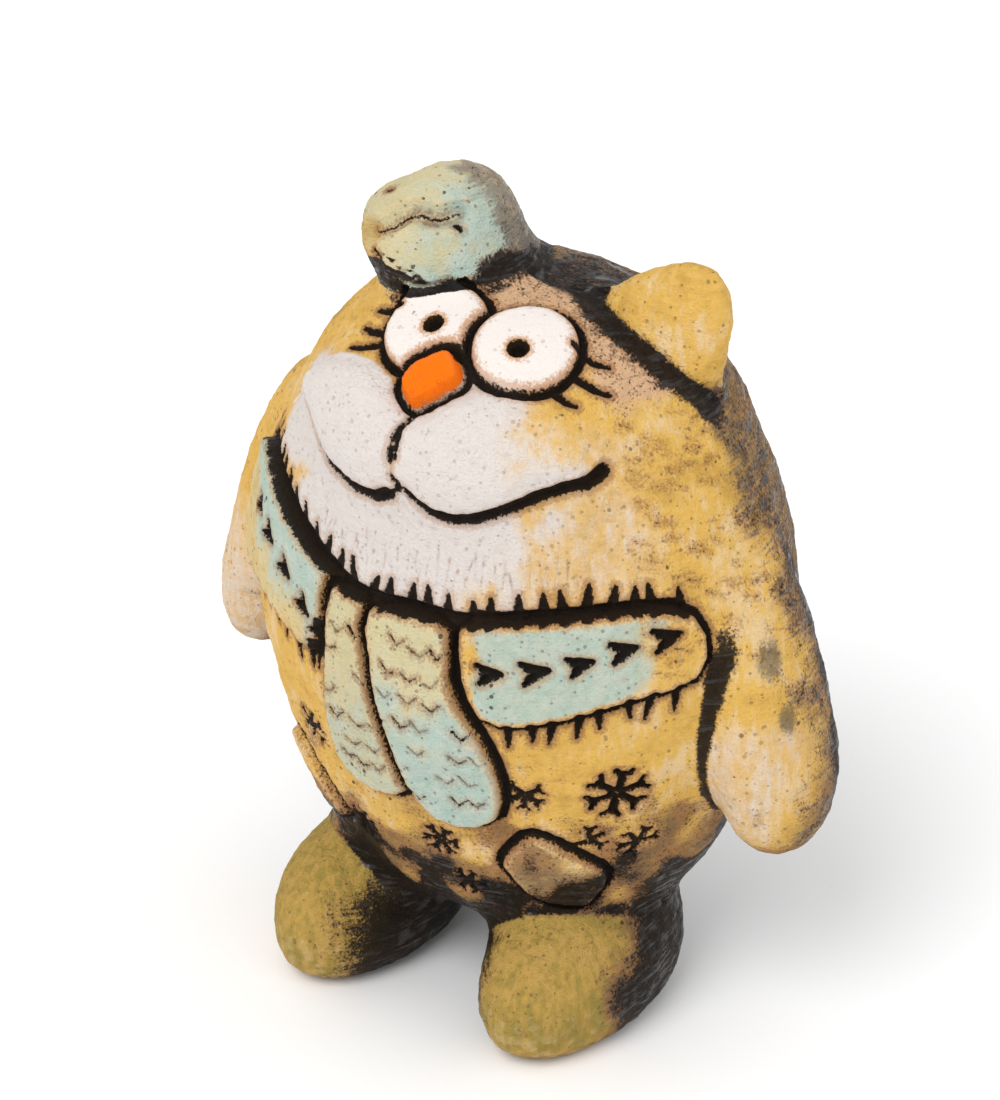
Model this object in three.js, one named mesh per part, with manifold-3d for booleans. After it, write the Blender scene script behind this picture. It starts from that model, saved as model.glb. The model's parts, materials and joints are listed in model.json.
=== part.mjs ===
// Souvenir cat in a knitted hat and scarf. A hollow figurine of grogged clay: two pressed shell
// halves luted together, with every limb and every piece of relief luted on before firing.
// Millimetres, +Z up. The cat faces -Y and its own left side is +X. It stands on z = 0.
import * as THREE from "three";
import { mergeVertices } from "three/addons/utils/BufferGeometryUtils.js";
import Module from "manifold-3d";

const wasm = await Module();
wasm.setup();

// ---- overall sizes ----
const BODY_WIDTH = 115; // widest part of the egg, without arms
const BODY_HEIGHT = 138; // underside to crown of the head
const BODY_DEPTH_RATIO = 0.83; // front to back, as a share of the width
const UNDERSIDE = 13.5; // height of the belly's lowest point above the table
const GAP = 0.3; // luting clearance between neighbouring pieces
const SHELL_WALL = 7; // clay thickness of the two halves
const VENT_DIAMETER = 11; // firing vent through the underside
const VENT_BACK = 15; // how far the vent lies behind the seam

// ---- limbs ----
const ARM_LENGTH = 74;
const ARM_BREADTH = 34; // front to back
const ARM_THICKNESS = 21; // side to side
const ARM_SPREAD = 56; // arm centre from the middle plane
const ARM_SPLAY = 12.5; // degrees the hand stands away from the belly
const HAND_HEIGHT = 42; // lowest point of the left hand
const RIGHT_ARM_RAISE = 8; // the right arm is luted on this much higher
const RIGHT_ARM_SPREAD = 1.5; // and stands this much further out
const FOOT_LENGTH = 60;
const FOOT_BREADTH = 32.5;
const FOOT_HEIGHT = 29;
const FOOT_SPREAD = 25.5; // foot centre from the middle plane
const FOOT_FORWARD = 17; // foot centre ahead of the middle
const EAR_HEIGHT = 21; // above its seat on the head
const EAR_BREADTH = 25;
const EAR_THICKNESS = 14;
const EAR_LEAN = 28; // degrees outward
const HAT_DIAMETER = 40; // over the rolled cuff
const CUFF_HEIGHT = 16;
const CROWN_DIAMETER = 28;
const CROWN_HEIGHT = 17; // from the middle of the cuff to the top
const HAT_TILT = 18; // degrees toward the right of the face
const HAT_LIFT = 2.5; // the middle of the cuff above the head
const HAT_SEAT = [-16.5, -1.5]; // plan position on the head
const EAR_SEAT = [31.5, 3];
const HAT_TILT_AXIS = new THREE.Vector3(0.588, -0.809, 0);

// ---- relief laid on the shell ----
const EYE_RELIEF = 2.2;
const NOSE_RELIEF = 3.4;
const MUZZLE_RELIEF = 6; // highest point of a lobe
const BAND_RELIEF = 2;
const TAIL_FRONT_RELIEF = 2.8;
const TAIL_BACK_RELIEF = 2.2;
const PATCH_RELIEF = 1.6;
const PUPIL_DIAMETER = 4.6;
const PUPIL_DEPTH = 1.5;
const LOBE_OVERSIZE = 0.62; // cushion radius as a share of the lobe's extent

// ---- how finely curves are faceted ----
const BODY_ROWS = 24;
const BODY_COLUMNS = 34;
const CAVITY_ROWS = 12;
const CAVITY_COLUMNS = 18;
const LIMB_ROWS = 12;
const LIMB_COLUMNS = 16;
const OUTLINE_STEPS = 26;
const CUSHION_COLUMNS = 22;
const CUSHION_ROWS = 14;
const PUPIL_STEPS = 10;
const VENT_STEPS = 14;
const REACH = 120; // length of a cutting prism, beyond the surface everywhere

// Outlines below are drawn in millimetres on a body of this size and follow it when it changes.
const DRAWN_WIDTH = 115;
const DRAWN_HEIGHT = 138;
const WIDTH_SCALE = BODY_WIDTH / DRAWN_WIDTH;
const HEIGHT_SCALE = BODY_HEIGHT / DRAWN_HEIGHT;
const WELD = 1e-3; // vertices closer than this are one

// Sheets are flat drawing planes through the body's axis. "turn" swings a sheet to the cat's left,
// "tilt" leans it back, "middle" is the height of its origin on the axis.
const FACE_SHEET = { turn: 0, tilt: 35, middle: 110 };
const MOUTH_SHEET = { turn: 0, tilt: 20, middle: 110 };
const CHEST_SHEET = { turn: 0, tilt: 0, middle: 0 };
const LEFT_SHEET = { turn: 35, tilt: 0, middle: 0 };
const RIGHT_SHEET = { turn: -32, tilt: 0, middle: 0 };
const LEFT_PATCH_SHEET = { turn: 20, tilt: 0, middle: 0 };
const RIGHT_PATCH_SHEET = { turn: -24, tilt: -8, middle: 0 };

// radius and height shares of the egg, from its underside to its crown
const EGG_PROFILE = [
  [0, 0], [0.35, 0.014], [0.61, 0.065], [0.76, 0.145], [0.845, 0.235], [0.922, 0.337], [0.983, 0.453],
  [1, 0.555], [0.965, 0.649], [0.887, 0.75], [0.791, 0.837], [0.687, 0.909], [0.539, 0.963],
  [0.296, 0.993], [0, 1],
];
// radius shares and height shares from the hand up to the shoulder
const ARM_PROFILE = [
  [0, 0], [0.55, 0.025], [0.88, 0.135], [1, 0.285], [0.97, 0.47], [0.88, 0.66], [0.7, 0.82],
  [0.4, 0.945], [0, 1],
];
const FOOT_PROFILE = [[0, -0.05], [0.84, 0.02], [1, 0.36], [0.93, 0.66], [0.5, 0.93], [0, 1]];
const EAR_PROFILE = [[0, -0.4], [0.9, -0.32], [1, 0.02], [0.82, 0.4], [0.55, 0.74], [0.25, 0.96], [0, 1]];
const CUFF_PROFILE = [[0, -0.5], [0.5, -0.5], [0.84, -0.38], [1, 0], [0.84, 0.38], [0.5, 0.5], [0, 0.5]];
const CROWN_PROFILE = [[0, 0], [1, 0.02], [0.96, 0.45], [0.65, 0.84], [0, 1]];

const EYE_LEFT = { across: 13.2, up: 19.6, breadth: 21.5, height: 15.5 };
const EYE_RIGHT = { across: -5.6, up: 19.3, breadth: 21, height: 15.5 };
const PUPIL_LEFT = { across: 14, up: 19 };
const PUPIL_RIGHT = { across: -5, up: 19 };
const NOSE_OUTLINE = [
  [-6, 4.5], [-5.6, 8.5], [-2.6, 12], [1, 13.8], [4.6, 11.4], [5.6, 8.6], [3, 4.6], [0, 1.2], [-2.6, 0.8],
];
const MUZZLE_LEFT_OUTLINE = [
  [-0.2, 9.6], [-0.8, 5], [1, 0.6], [6, -3], [11, -4], [16, -2.2], [22, 2], [28, 6.4], [34, 9],
  [31, 14.5], [25, 18.5], [17, 20], [10, 19], [4, 14],
];
const MUZZLE_RIGHT_OUTLINE = [
  [-1.4, 9.6], [-2, 5], [0, -0.2], [-0.6, -3], [-7, -3.6], [-15, -2.4], [-21, 0.6], [-25, 4.4], [-30, 8],
  [-35, 10.6], [-31, 14.4], [-24, 17], [-15, 17.8], [-8, 14.6],
];
const BAND_LEFT_OUTLINE = [
  [-14, 99], [-14, 93], [-13, 87], [-11, 82], [-8, 79.4], [-3, 79.4], [6, 81.6], [14, 84], [22, 86],
  [31, 87.4], [34, 92], [33, 99], [28, 104], [13, 104.6], [4, 103.6], [-5, 102.6], [-12, 102],
];
const BAND_RIGHT_OUTLINE = [
  [14, 101.6], [5, 104.4], [-3, 107.4], [-12, 110.6], [-22, 113], [-30, 113], [-34, 107], [-34, 97],
  [-30, 91], [-17, 88], [-7, 86], [0, 84], [8, 82.6], [10, 88], [12, 95],
];
const TAIL_FRONT_OUTLINE = [
  [-4, 99.4], [-4, 89], [-3, 80], [-1, 72], [1, 64], [3.4, 57.4], [7, 53.4], [13, 52], [19, 54], [22, 58.4],
  [22.4, 67], [20, 76], [16.4, 83], [14.4, 89], [13.6, 99.8],
];
const TAIL_BACK_OUTLINE = [
  [-15, 100.4], [-15.4, 89], [-16.4, 80], [-17, 71], [-16.6, 62], [-14, 57], [-7, 54.6], [0, 55.4],
  [3, 58], [1, 64], [-1, 72], [-3, 80], [-4, 89], [-4, 99.6],
];
const PATCH_LEFT_OUTLINE = [
  [12, 52], [7, 47], [5, 43], [7, 38.6], [10, 34], [16, 31], [21, 31], [24.4, 35], [26, 40], [20, 47],
];
const PATCH_RIGHT_OUTLINE = [[-20, 59], [-13, 56], [-6, 49], [-3, 44], [-8, 42], [-15, 45.6], [-22, 54]];

const radians = THREE.MathUtils.degToRad;

// One closed skin: shared corners are single vertices and triangles with no area are dropped.
function welded(geometry) {
  const copy = geometry.clone();
  copy.deleteAttribute("normal");
  copy.deleteAttribute("uv");
  const skin = mergeVertices(copy, WELD);
  const old = skin.index.array;
  const kept = [];
  for (let i = 0; i < old.length; i += 3) {
    const [a, b, c] = [old[i], old[i + 1], old[i + 2]];
    if (a !== b && b !== c && a !== c) kept.push(a, b, c);
  }
  skin.setIndex(kept);
  return skin;
}

// The same skin moved outward along its own normals; a negative distance moves it inward.
function grown(geometry, distance) {
  const skin = welded(geometry);
  skin.computeVertexNormals();
  const { position, normal } = skin.attributes;
  for (let i = 0; i < position.count; i += 1) {
    const point = new THREE.Vector3().fromBufferAttribute(position, i);
    point.addScaledVector(new THREE.Vector3().fromBufferAttribute(normal, i), distance);
    position.setXYZ(i, point.x, point.y, point.z);
  }
  skin.deleteAttribute("normal");
  return skin;
}

function solid(geometry) {
  const skin = welded(geometry);
  const vertProperties = skin.attributes.position.array;
  const triVerts = new Uint32Array(skin.index.array);
  return new wasm.Manifold(new wasm.Mesh({ numProp: 3, vertProperties, triVerts }));
}

function geometryOf(manifold) {
  const mesh = manifold.getMesh();
  const places = new Float32Array(mesh.numVert * 3);
  for (let i = 0; i < mesh.numVert; i += 1) {
    places.set(mesh.vertProperties.subarray(i * mesh.numProp, i * mesh.numProp + 3), i * 3);
  }
  const geometry = new THREE.BufferGeometry();
  geometry.setAttribute("position", new THREE.BufferAttribute(places, 3));
  geometry.setIndex(new THREE.BufferAttribute(mesh.triVerts, 1));
  return geometry;
}

// A rounded form turned about +Z. The profile is in shares of the radius and of the height.
function turned(profile, radius, height, rows, columns) {
  const curve = new THREE.SplineCurve(profile.map(([r, z]) => new THREE.Vector2(r * radius, z * height)));
  const points = curve.getSpacedPoints(rows).map((p) => new THREE.Vector2(Math.max(p.x, 0), p.y));
  points[0].x = 0;
  points[rows].x = 0;
  return new THREE.LatheGeometry(points, columns).rotateX(Math.PI / 2);
}

// ---- the egg ----
function eggOf(rows, columns) {
  const form = turned(EGG_PROFILE, BODY_WIDTH / 2, BODY_HEIGHT, rows, columns);
  return form.scale(1, BODY_DEPTH_RATIO, 1).translate(0, 0, UNDERSIDE);
}
const eggForm = eggOf(BODY_ROWS, BODY_COLUMNS);
const egg = solid(eggForm);
const eggWithGap = solid(grown(eggForm, GAP));

// Directions of a drawing sheet: across, up and outward.
function sheetAxes({ turn, tilt }) {
  const [t, e] = [radians(turn), radians(tilt)];
  const across = new THREE.Vector3(Math.cos(t), Math.sin(t), 0);
  const outward = new THREE.Vector3(Math.sin(t) * Math.cos(e), -Math.cos(t) * Math.cos(e), Math.sin(e));
  const up = new THREE.Vector3().crossVectors(outward, across);
  return { across, up, outward };
}

function sheetOrigin({ middle }) {
  return new THREE.Vector3(0, 0, UNDERSIDE + (middle - UNDERSIDE) * HEIGHT_SCALE);
}

// Drawn sizes follow the body when its width or height changes.
function followed([across, up]) {
  return [across * WIDTH_SCALE, up * HEIGHT_SCALE];
}

function smoothOutline(corners) {
  const points = corners.map((corner) => new THREE.Vector3(...followed(corner), 0));
  const loop = new THREE.CatmullRomCurve3(points, true, "centripetal");
  return loop.getSpacedPoints(OUTLINE_STEPS).slice(0, -1).map((p) => new THREE.Vector2(p.x, p.y));
}

function ovalOutline({ across, up, breadth, height }) {
  const [x, y] = followed([across, up]);
  const oval = new THREE.EllipseCurve(x, y, breadth / 2 * WIDTH_SCALE, height / 2 * HEIGHT_SCALE);
  return oval.getSpacedPoints(OUTLINE_STEPS).slice(0, -1);
}

// An outline moved outward by a distance, corner by corner.
function widened(outline, distance) {
  const points = THREE.ShapeUtils.area(outline) > 0 ? outline : [...outline].reverse();
  return points.map((point, i) => {
    const before = points[(i + points.length - 1) % points.length];
    const after = points[(i + 1) % points.length];
    const along = after.clone().sub(before).normalize();
    return new THREE.Vector2(point.x + along.y * distance, point.y - along.x * distance);
  });
}

// A straight-sided cutter standing on a sheet and reaching out through the skin.
function cutter(sheet, outline) {
  const { across, up, outward } = sheetAxes(sheet);
  const form = new THREE.ExtrudeGeometry(new THREE.Shape(outline), { depth: REACH, bevelEnabled: false });
  form.applyMatrix4(new THREE.Matrix4().makeBasis(across, up, outward).setPosition(sheetOrigin(sheet)));
  return solid(form);
}

// A layer of clay of even thickness lying on the egg with the luting gap beneath it.
function layer(relief) {
  return solid(grown(eggForm, GAP + relief)).subtract(eggWithGap);
}

function allOf(solids) {
  return solids.reduce((sum, next) => sum.add(next));
}

// ---- lumps ----
function armForm(side) {
  const form = turned(ARM_PROFILE, ARM_BREADTH / 2, ARM_LENGTH, LIMB_ROWS, LIMB_COLUMNS);
  form.translate(0, 0, -ARM_LENGTH / 2);
  form.scale(ARM_THICKNESS / ARM_BREADTH, 1, 1);
  form.rotateY(radians(-side * ARM_SPLAY));
  const raise = side < 0 ? RIGHT_ARM_RAISE : 0;
  const spread = ARM_SPREAD * WIDTH_SCALE + (side < 0 ? RIGHT_ARM_SPREAD : 0);
  const height = UNDERSIDE + (HAND_HEIGHT + raise - UNDERSIDE) * HEIGHT_SCALE + ARM_LENGTH / 2;
  form.translate(side * spread, 0, height);
  return form;
}

function footForm(side) {
  const form = turned(FOOT_PROFILE, FOOT_BREADTH / 2, FOOT_HEIGHT, LIMB_ROWS, LIMB_COLUMNS);
  form.scale(1, FOOT_LENGTH / FOOT_BREADTH, 1);
  form.translate(side * FOOT_SPREAD * WIDTH_SCALE, -FOOT_FORWARD * WIDTH_SCALE, 0);
  return form;
}

// The point of the egg's skin straight above a place on the plan.
function seat(x, y) {
  const start = new THREE.Vector3(x * WIDTH_SCALE, y * WIDTH_SCALE, UNDERSIDE + BODY_HEIGHT * 2);
  const probe = new THREE.Raycaster(start, new THREE.Vector3(0, 0, -1));
  return probe.intersectObject(new THREE.Mesh(eggForm, new THREE.MeshBasicMaterial()))[0].point;
}

function earForm() {
  const form = turned(EAR_PROFILE, EAR_BREADTH / 2, EAR_HEIGHT, LIMB_ROWS, LIMB_COLUMNS);
  form.scale(1, EAR_THICKNESS / EAR_BREADTH, 1);
  form.rotateY(radians(EAR_LEAN));
  const { x, y, z } = seat(...EAR_SEAT);
  return form.translate(x, y, z);
}

function onHat(form) {
  const { x, y, z } = seat(...HAT_SEAT);
  const lean = new THREE.Matrix4().makeRotationAxis(HAT_TILT_AXIS.clone().normalize(), radians(-HAT_TILT));
  return form.applyMatrix4(lean.setPosition(x, y, z + HAT_LIFT));
}

const armForms = { left: armForm(1), right: armForm(-1) };
const footForms = { left: footForm(1), right: footForm(-1) };
const cuffForm = onHat(turned(CUFF_PROFILE, HAT_DIAMETER / 2, CUFF_HEIGHT, LIMB_ROWS, LIMB_COLUMNS));
const crownForm = onHat(turned(CROWN_PROFILE, CROWN_DIAMETER / 2, CROWN_HEIGHT, LIMB_ROWS, LIMB_COLUMNS));
const lumpsWithGap = allOf(
  [...Object.values(armForms), ...Object.values(footForms), cuffForm].map((form) => solid(grown(form, GAP))),
);

// ---- outlines of the relief ----
const outlines = {
  eyeLeft: ovalOutline(EYE_LEFT),
  eyeRight: ovalOutline(EYE_RIGHT),
  nose: smoothOutline(NOSE_OUTLINE),
  muzzleLeft: smoothOutline(MUZZLE_LEFT_OUTLINE),
  muzzleRight: smoothOutline(MUZZLE_RIGHT_OUTLINE),
  tailFront: smoothOutline(TAIL_FRONT_OUTLINE),
  tailBack: smoothOutline(TAIL_BACK_OUTLINE),
  bandLeft: smoothOutline(BAND_LEFT_OUTLINE),
  bandRight: smoothOutline(BAND_RIGHT_OUTLINE),
  patchLeft: smoothOutline(PATCH_LEFT_OUTLINE),
  patchRight: smoothOutline(PATCH_RIGHT_OUTLINE),
};

// A piece with the luting gap cut around its neighbours. Each neighbour is a sheet and an outline.
function clearOf(piece, neighbours) {
  return neighbours.reduce((left, [sheet, edge]) => left.subtract(cutter(sheet, widened(edge, GAP))), piece);
}

function plate(relief, sheet, outline, neighbours = []) {
  return clearOf(layer(relief).intersect(cutter(sheet, outline)).subtract(lumpsWithGap), neighbours);
}

function pupil({ across, up }) {
  const [x, y] = followed([across, up]);
  const rim = new THREE.EllipseCurve(x, y, PUPIL_DIAMETER / 2, PUPIL_DIAMETER / 2);
  const ring = rim.getSpacedPoints(PUPIL_STEPS).slice(0, -1);
  const pit = layer(2 * EYE_RELIEF).subtract(solid(grown(eggForm, GAP + EYE_RELIEF - PUPIL_DEPTH)));
  return pit.intersect(cutter(FACE_SHEET, ring));
}

// A domed lobe of the muzzle: a cushion pressed on the egg and trimmed to the mouth line.
function lobe(sheet, outline, neighbours) {
  const low = outline.reduce((a, b) => a.clone().min(b));
  const high = outline.reduce((a, b) => a.clone().max(b));
  const { across, up, outward } = sheetAxes(sheet);
  const middle = sheetOrigin(sheet)
    .addScaledVector(across, (low.x + high.x) / 2)
    .addScaledVector(up, (low.y + high.y) / 2);
  const probe = new THREE.Raycaster(middle.clone().addScaledVector(outward, REACH), outward.clone().negate());
  const contact = probe.intersectObject(new THREE.Mesh(eggForm, new THREE.MeshBasicMaterial()))[0];
  const facing = contact.face.normal;
  const level = new THREE.Vector3().crossVectors(new THREE.Vector3(0, 0, 1), facing).normalize();
  const rise = new THREE.Vector3().crossVectors(facing, level);
  const cushion = new THREE.SphereGeometry(1, CUSHION_COLUMNS, CUSHION_ROWS);
  cushion.scale((high.x - low.x) * LOBE_OVERSIZE, (high.y - low.y) * LOBE_OVERSIZE, MUZZLE_RELIEF);
  cushion.applyMatrix4(new THREE.Matrix4().makeBasis(level, rise, facing).setPosition(contact.point));
  return clearOf(solid(cushion).subtract(eggWithGap).intersect(cutter(sheet, outline)), neighbours);
}

// ---- materials: fired clay under brushed slips ----
function slip(color, roughness) {
  return new THREE.MeshStandardMaterial({ color, roughness, metalness: 0 });
}
const materials = {
  ochre: slip(0xc9a050, 0.75),
  white: slip(0xe9e2d6, 0.8),
  orange: slip(0xe8761c, 0.6),
  blue: slip(0xa9c8bd, 0.75),
  sage: slip(0x9fb09a, 0.75),
  moss: slip(0xb0a04a, 0.7),
};

const group = new THREE.Group();
function add(name, shape, material) {
  const mesh = new THREE.Mesh(geometryOf(shape), material);
  mesh.name = name;
  group.add(mesh);
}

// ---- shell halves ----
const cavity = solid(grown(eggOf(CAVITY_ROWS, CAVITY_COLUMNS), -SHELL_WALL));
const vent = solid(
  new THREE.CylinderGeometry(VENT_DIAMETER / 2, VENT_DIAMETER / 2, SHELL_WALL * 4, VENT_STEPS)
    .rotateX(Math.PI / 2)
    .translate(0, VENT_BACK * WIDTH_SCALE, UNDERSIDE),
);
const shell = egg.subtract(cavity).subtract(vent);
const halfSpace = new THREE.BoxGeometry(4 * REACH, 2 * REACH, 4 * REACH);
const behindSeam = solid(halfSpace.clone().translate(0, REACH - GAP / 2, 0));
const aheadOfSeam = solid(halfSpace.clone().translate(0, GAP / 2 - REACH, 0));
add("body_front_half", shell.subtract(behindSeam), materials.ochre);
add("body_back_half", shell.subtract(aheadOfSeam), materials.ochre);

// ---- limbs, ear and hat ----
const belowTable = solid(new THREE.BoxGeometry(4 * REACH, 4 * REACH, REACH).translate(0, 0, -REACH / 2));
add("arm_left", solid(armForms.left).subtract(eggWithGap), materials.ochre);
add("arm_right", solid(armForms.right).subtract(eggWithGap), materials.ochre);
add("foot_left", solid(footForms.left).subtract(eggWithGap).subtract(belowTable), materials.moss);
add("foot_right", solid(footForms.right).subtract(eggWithGap).subtract(belowTable), materials.moss);
add("ear_left", solid(earForm()).subtract(eggWithGap), materials.ochre);
add("hat_brim", solid(cuffForm).subtract(eggWithGap), materials.sage);
add("hat_crown", solid(crownForm).subtract(solid(grown(cuffForm, GAP))).subtract(eggWithGap), materials.sage);

// ---- face ----
const noseEdge = [FACE_SHEET, outlines.nose];
const eyeLeftEdge = [FACE_SHEET, outlines.eyeLeft];
const eyeRightEdge = [FACE_SHEET, outlines.eyeRight];
const muzzleLeftEdge = [MOUTH_SHEET, outlines.muzzleLeft];
add("nose", plate(NOSE_RELIEF, ...noseEdge), materials.orange);
add(
  "eye_left",
  plate(EYE_RELIEF, ...eyeLeftEdge, [noseEdge]).subtract(pupil(PUPIL_LEFT)),
  materials.white,
);
add(
  "eye_right",
  plate(EYE_RELIEF, ...eyeRightEdge, [noseEdge, eyeLeftEdge]).subtract(pupil(PUPIL_RIGHT)),
  materials.white,
);
add("muzzle_left", lobe(...muzzleLeftEdge, [noseEdge, eyeLeftEdge, eyeRightEdge]), materials.white);
add(
  "muzzle_right",
  lobe(MOUTH_SHEET, outlines.muzzleRight, [noseEdge, eyeLeftEdge, eyeRightEdge, muzzleLeftEdge]),
  materials.white,
);

// ---- scarf and patches ----
const tailFrontEdge = [CHEST_SHEET, outlines.tailFront];
const tailBackEdge = [CHEST_SHEET, outlines.tailBack];
add("scarf_tail_front", plate(TAIL_FRONT_RELIEF, ...tailFrontEdge), materials.blue);
add("scarf_tail_back", plate(TAIL_BACK_RELIEF, ...tailBackEdge, [tailFrontEdge]), materials.sage);
add("scarf_band_left", plate(BAND_RELIEF, LEFT_SHEET, outlines.bandLeft, [tailFrontEdge]), materials.blue);
add(
  "scarf_band_right",
  plate(BAND_RELIEF, RIGHT_SHEET, outlines.bandRight, [tailFrontEdge, tailBackEdge]),
  materials.blue,
);
add("patch_left", plate(PATCH_RELIEF, LEFT_PATCH_SHEET, outlines.patchLeft), materials.ochre);
add("patch_right", plate(PATCH_RELIEF, RIGHT_PATCH_SHEET, outlines.patchRight), materials.ochre);

// ---- stand the figure on the table with its footprint centred ----
const bounds = new THREE.Box3().setFromObject(group);
const middle = bounds.getCenter(new THREE.Vector3());
for (const mesh of group.children) {
  mesh.geometry.translate(-middle.x, -middle.y, -bounds.min.z);
}

export default group;
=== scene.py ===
"""Souvenir cat of grogged clay in a rolled-cuff hat and a scarf.

The skin of the whole figure is modelled in one go, as a potter works the luted pieces together, and
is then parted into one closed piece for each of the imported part's nodes. Lengths are millimetres in
the part's own frame (+Z up, the cat faces -Y, its left side is +X) and turn into metres when a piece
is made."""

import json
import math

import bmesh
import bpy
import numpy as np
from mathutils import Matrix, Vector, noise
from mathutils.bvhtree import BVHTree


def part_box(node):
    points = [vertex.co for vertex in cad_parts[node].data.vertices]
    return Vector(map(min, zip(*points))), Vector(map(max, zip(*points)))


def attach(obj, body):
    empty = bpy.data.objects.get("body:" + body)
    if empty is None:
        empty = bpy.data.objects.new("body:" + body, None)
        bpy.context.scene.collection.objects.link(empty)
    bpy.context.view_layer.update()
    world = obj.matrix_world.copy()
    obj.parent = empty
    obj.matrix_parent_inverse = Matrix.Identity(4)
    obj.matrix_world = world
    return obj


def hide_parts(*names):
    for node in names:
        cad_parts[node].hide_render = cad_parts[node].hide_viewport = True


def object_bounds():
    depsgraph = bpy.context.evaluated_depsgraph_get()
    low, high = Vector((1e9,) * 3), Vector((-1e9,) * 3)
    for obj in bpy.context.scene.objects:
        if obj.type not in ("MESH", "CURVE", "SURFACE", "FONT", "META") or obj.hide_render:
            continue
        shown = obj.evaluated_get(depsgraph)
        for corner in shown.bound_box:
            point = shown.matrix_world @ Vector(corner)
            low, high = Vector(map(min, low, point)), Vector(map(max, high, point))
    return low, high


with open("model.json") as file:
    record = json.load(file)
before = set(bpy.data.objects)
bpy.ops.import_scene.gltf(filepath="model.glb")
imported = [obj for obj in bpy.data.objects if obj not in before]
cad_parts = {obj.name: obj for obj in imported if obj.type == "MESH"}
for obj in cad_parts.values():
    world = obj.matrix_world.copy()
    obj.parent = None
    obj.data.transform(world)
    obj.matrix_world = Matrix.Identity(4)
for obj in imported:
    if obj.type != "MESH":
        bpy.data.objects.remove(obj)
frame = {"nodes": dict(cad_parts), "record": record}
cad_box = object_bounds()

MM = 1000.0
LUMPS = ("arm_left", "arm_right", "foot_left", "foot_right", "ear_left", "hat_brim", "hat_crown")
LOBES = ("muzzle_left", "muzzle_right")
EYES = ("eye_left", "eye_right")
BANDS = ("scarf_band_left", "scarf_band_right")
TAILS = ("scarf_tail_front", "scarf_tail_back")
PATCHES = ("patch_left", "patch_right")
PLATES = EYES + ("nose",) + BANDS + TAILS + PATCHES

# ---- how the clay is worked, in millimetres ----
SKIN_PITCH = 1.7  # spacing of the first skin's points
LUTE = 0.45  # lumps grow this much to meet the body
FILLET_PASSES = 20  # rounds of rubbing down where pieces meet
FINE_PASSES = 8
SOCKET = 2.5  # depth of the wall under a parting line
RIM_REACH = 5.0  # how far a relief's edge is felt
LUMPINESS = 0.38
DENTS = 0.24
RIM_GROOVE = 0.75  # half-width of the line cut round a relief
RIM_DEPTH = 0.95
RAGGED = 0.85  # how far the oxide wanders at the edge of a cut
SPAN_CUTS = 12  # points between two knots of a flowing line
FACE_WAY = (0.22, -0.95, 0.3)  # out of the side that holds the finest tool marks
FACE_TURN = 0.30  # faces turned this much toward it are divided once more
VENT_BEHIND, VENT_HALF, VENT_DEEP = 15, 5.0, 7.0
rng = np.random.default_rng(7)


def unit(vectors):
    return vectors / np.maximum(np.linalg.norm(vectors, axis=-1, keepdims=True), 1e-12)


def eased(value, low, high):
    """0 below low, 1 above high, smooth between. high may be the smaller one."""
    share = np.clip((value - low) / (high - low), 0, 1)
    return share * share * (3 - 2 * share)


def corner(node, x, y, z):
    """A place in a node's box, as shares of its width, depth and height, in millimetres."""
    low, high = (np.array(end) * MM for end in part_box(node))
    return low + (high - low) * np.array([x, y, z])


def smooth_line(points, count):
    """A flowing line through points, cut into count equal shares of the way."""
    points = np.asarray(points, float)
    padded = np.vstack([2 * points[0] - points[1], points, 2 * points[-1] - points[-2]])
    along = []
    for a, b, c, d in zip(padded, padded[1:], padded[2:], padded[3:]):
        for t in np.linspace(0, 1, SPAN_CUTS, endpoint=False):
            along.append(b + 0.5 * t * (c - a + t * (2 * a - 5 * b + 4 * c - d + t * (3 * (b - c) + d - a))))
    along = np.array(along + [points[-1]])
    way = np.concatenate([[0], np.cumsum(np.linalg.norm(np.diff(along, axis=0), axis=1))])
    marks = np.linspace(0, way[-1], count)
    return np.stack([np.interp(marks, way, along[:, k]) for k in range(along.shape[1])], 1)


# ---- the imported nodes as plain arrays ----
def node_mesh(name):
    """Corners in millimetres and triangles of a node, with doubled corners joined."""
    source = frame["nodes"][name].data
    places = np.empty(len(source.vertices) * 3)
    source.vertices.foreach_get("co", places)
    corners, index = np.unique(np.round(places.reshape(-1, 3) * MM, 3), axis=0, return_inverse=True)
    source.calc_loop_triangles()
    triangles = np.empty(len(source.loop_triangles) * 3, np.int64)
    source.loop_triangles.foreach_get("vertices", triangles)
    triangles = index.reshape(-1)[triangles].reshape(-1, 3)
    a, b, c = triangles.T
    return corners, triangles[(a != b) & (b != c) & (a != c)]


def face_normals(points, triangles):
    a, b, c = (points[triangles[:, k]] for k in range(3))
    return np.cross(b - a, c - a)


def corner_normals(points, triangles):
    total = np.zeros_like(points)
    for k in range(3):
        np.add.at(total, triangles[:, k], face_normals(points, triangles))
    return unit(total)


def tree_of(points, faces):
    return BVHTree.FromPolygons(points.tolist(), [tuple(f) for f in faces.tolist()])


# ---- the egg under everything ----
def body_hull():
    form = bmesh.new()
    for half in ("body_front_half", "body_back_half"):
        for place in node_mesh(half)[0]:
            form.verts.new(place)
    hull = bmesh.ops.convex_hull(form, input=form.verts)["geom"]
    kept = np.array([v.co for v in hull if isinstance(v, bmesh.types.BMVert)])
    form.free()
    return kept


hull = body_hull()
EGG_LOW, EGG_HIGH = hull.min(0), hull.max(0)
EGG_AXIS = (EGG_LOW + EGG_HIGH) / 2
EGG_HALF = (EGG_HIGH - EGG_LOW) / 2
EGG_RATIO = EGG_HALF[1] / EGG_HALF[0]
SEAM = EGG_AXIS[1]


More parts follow.
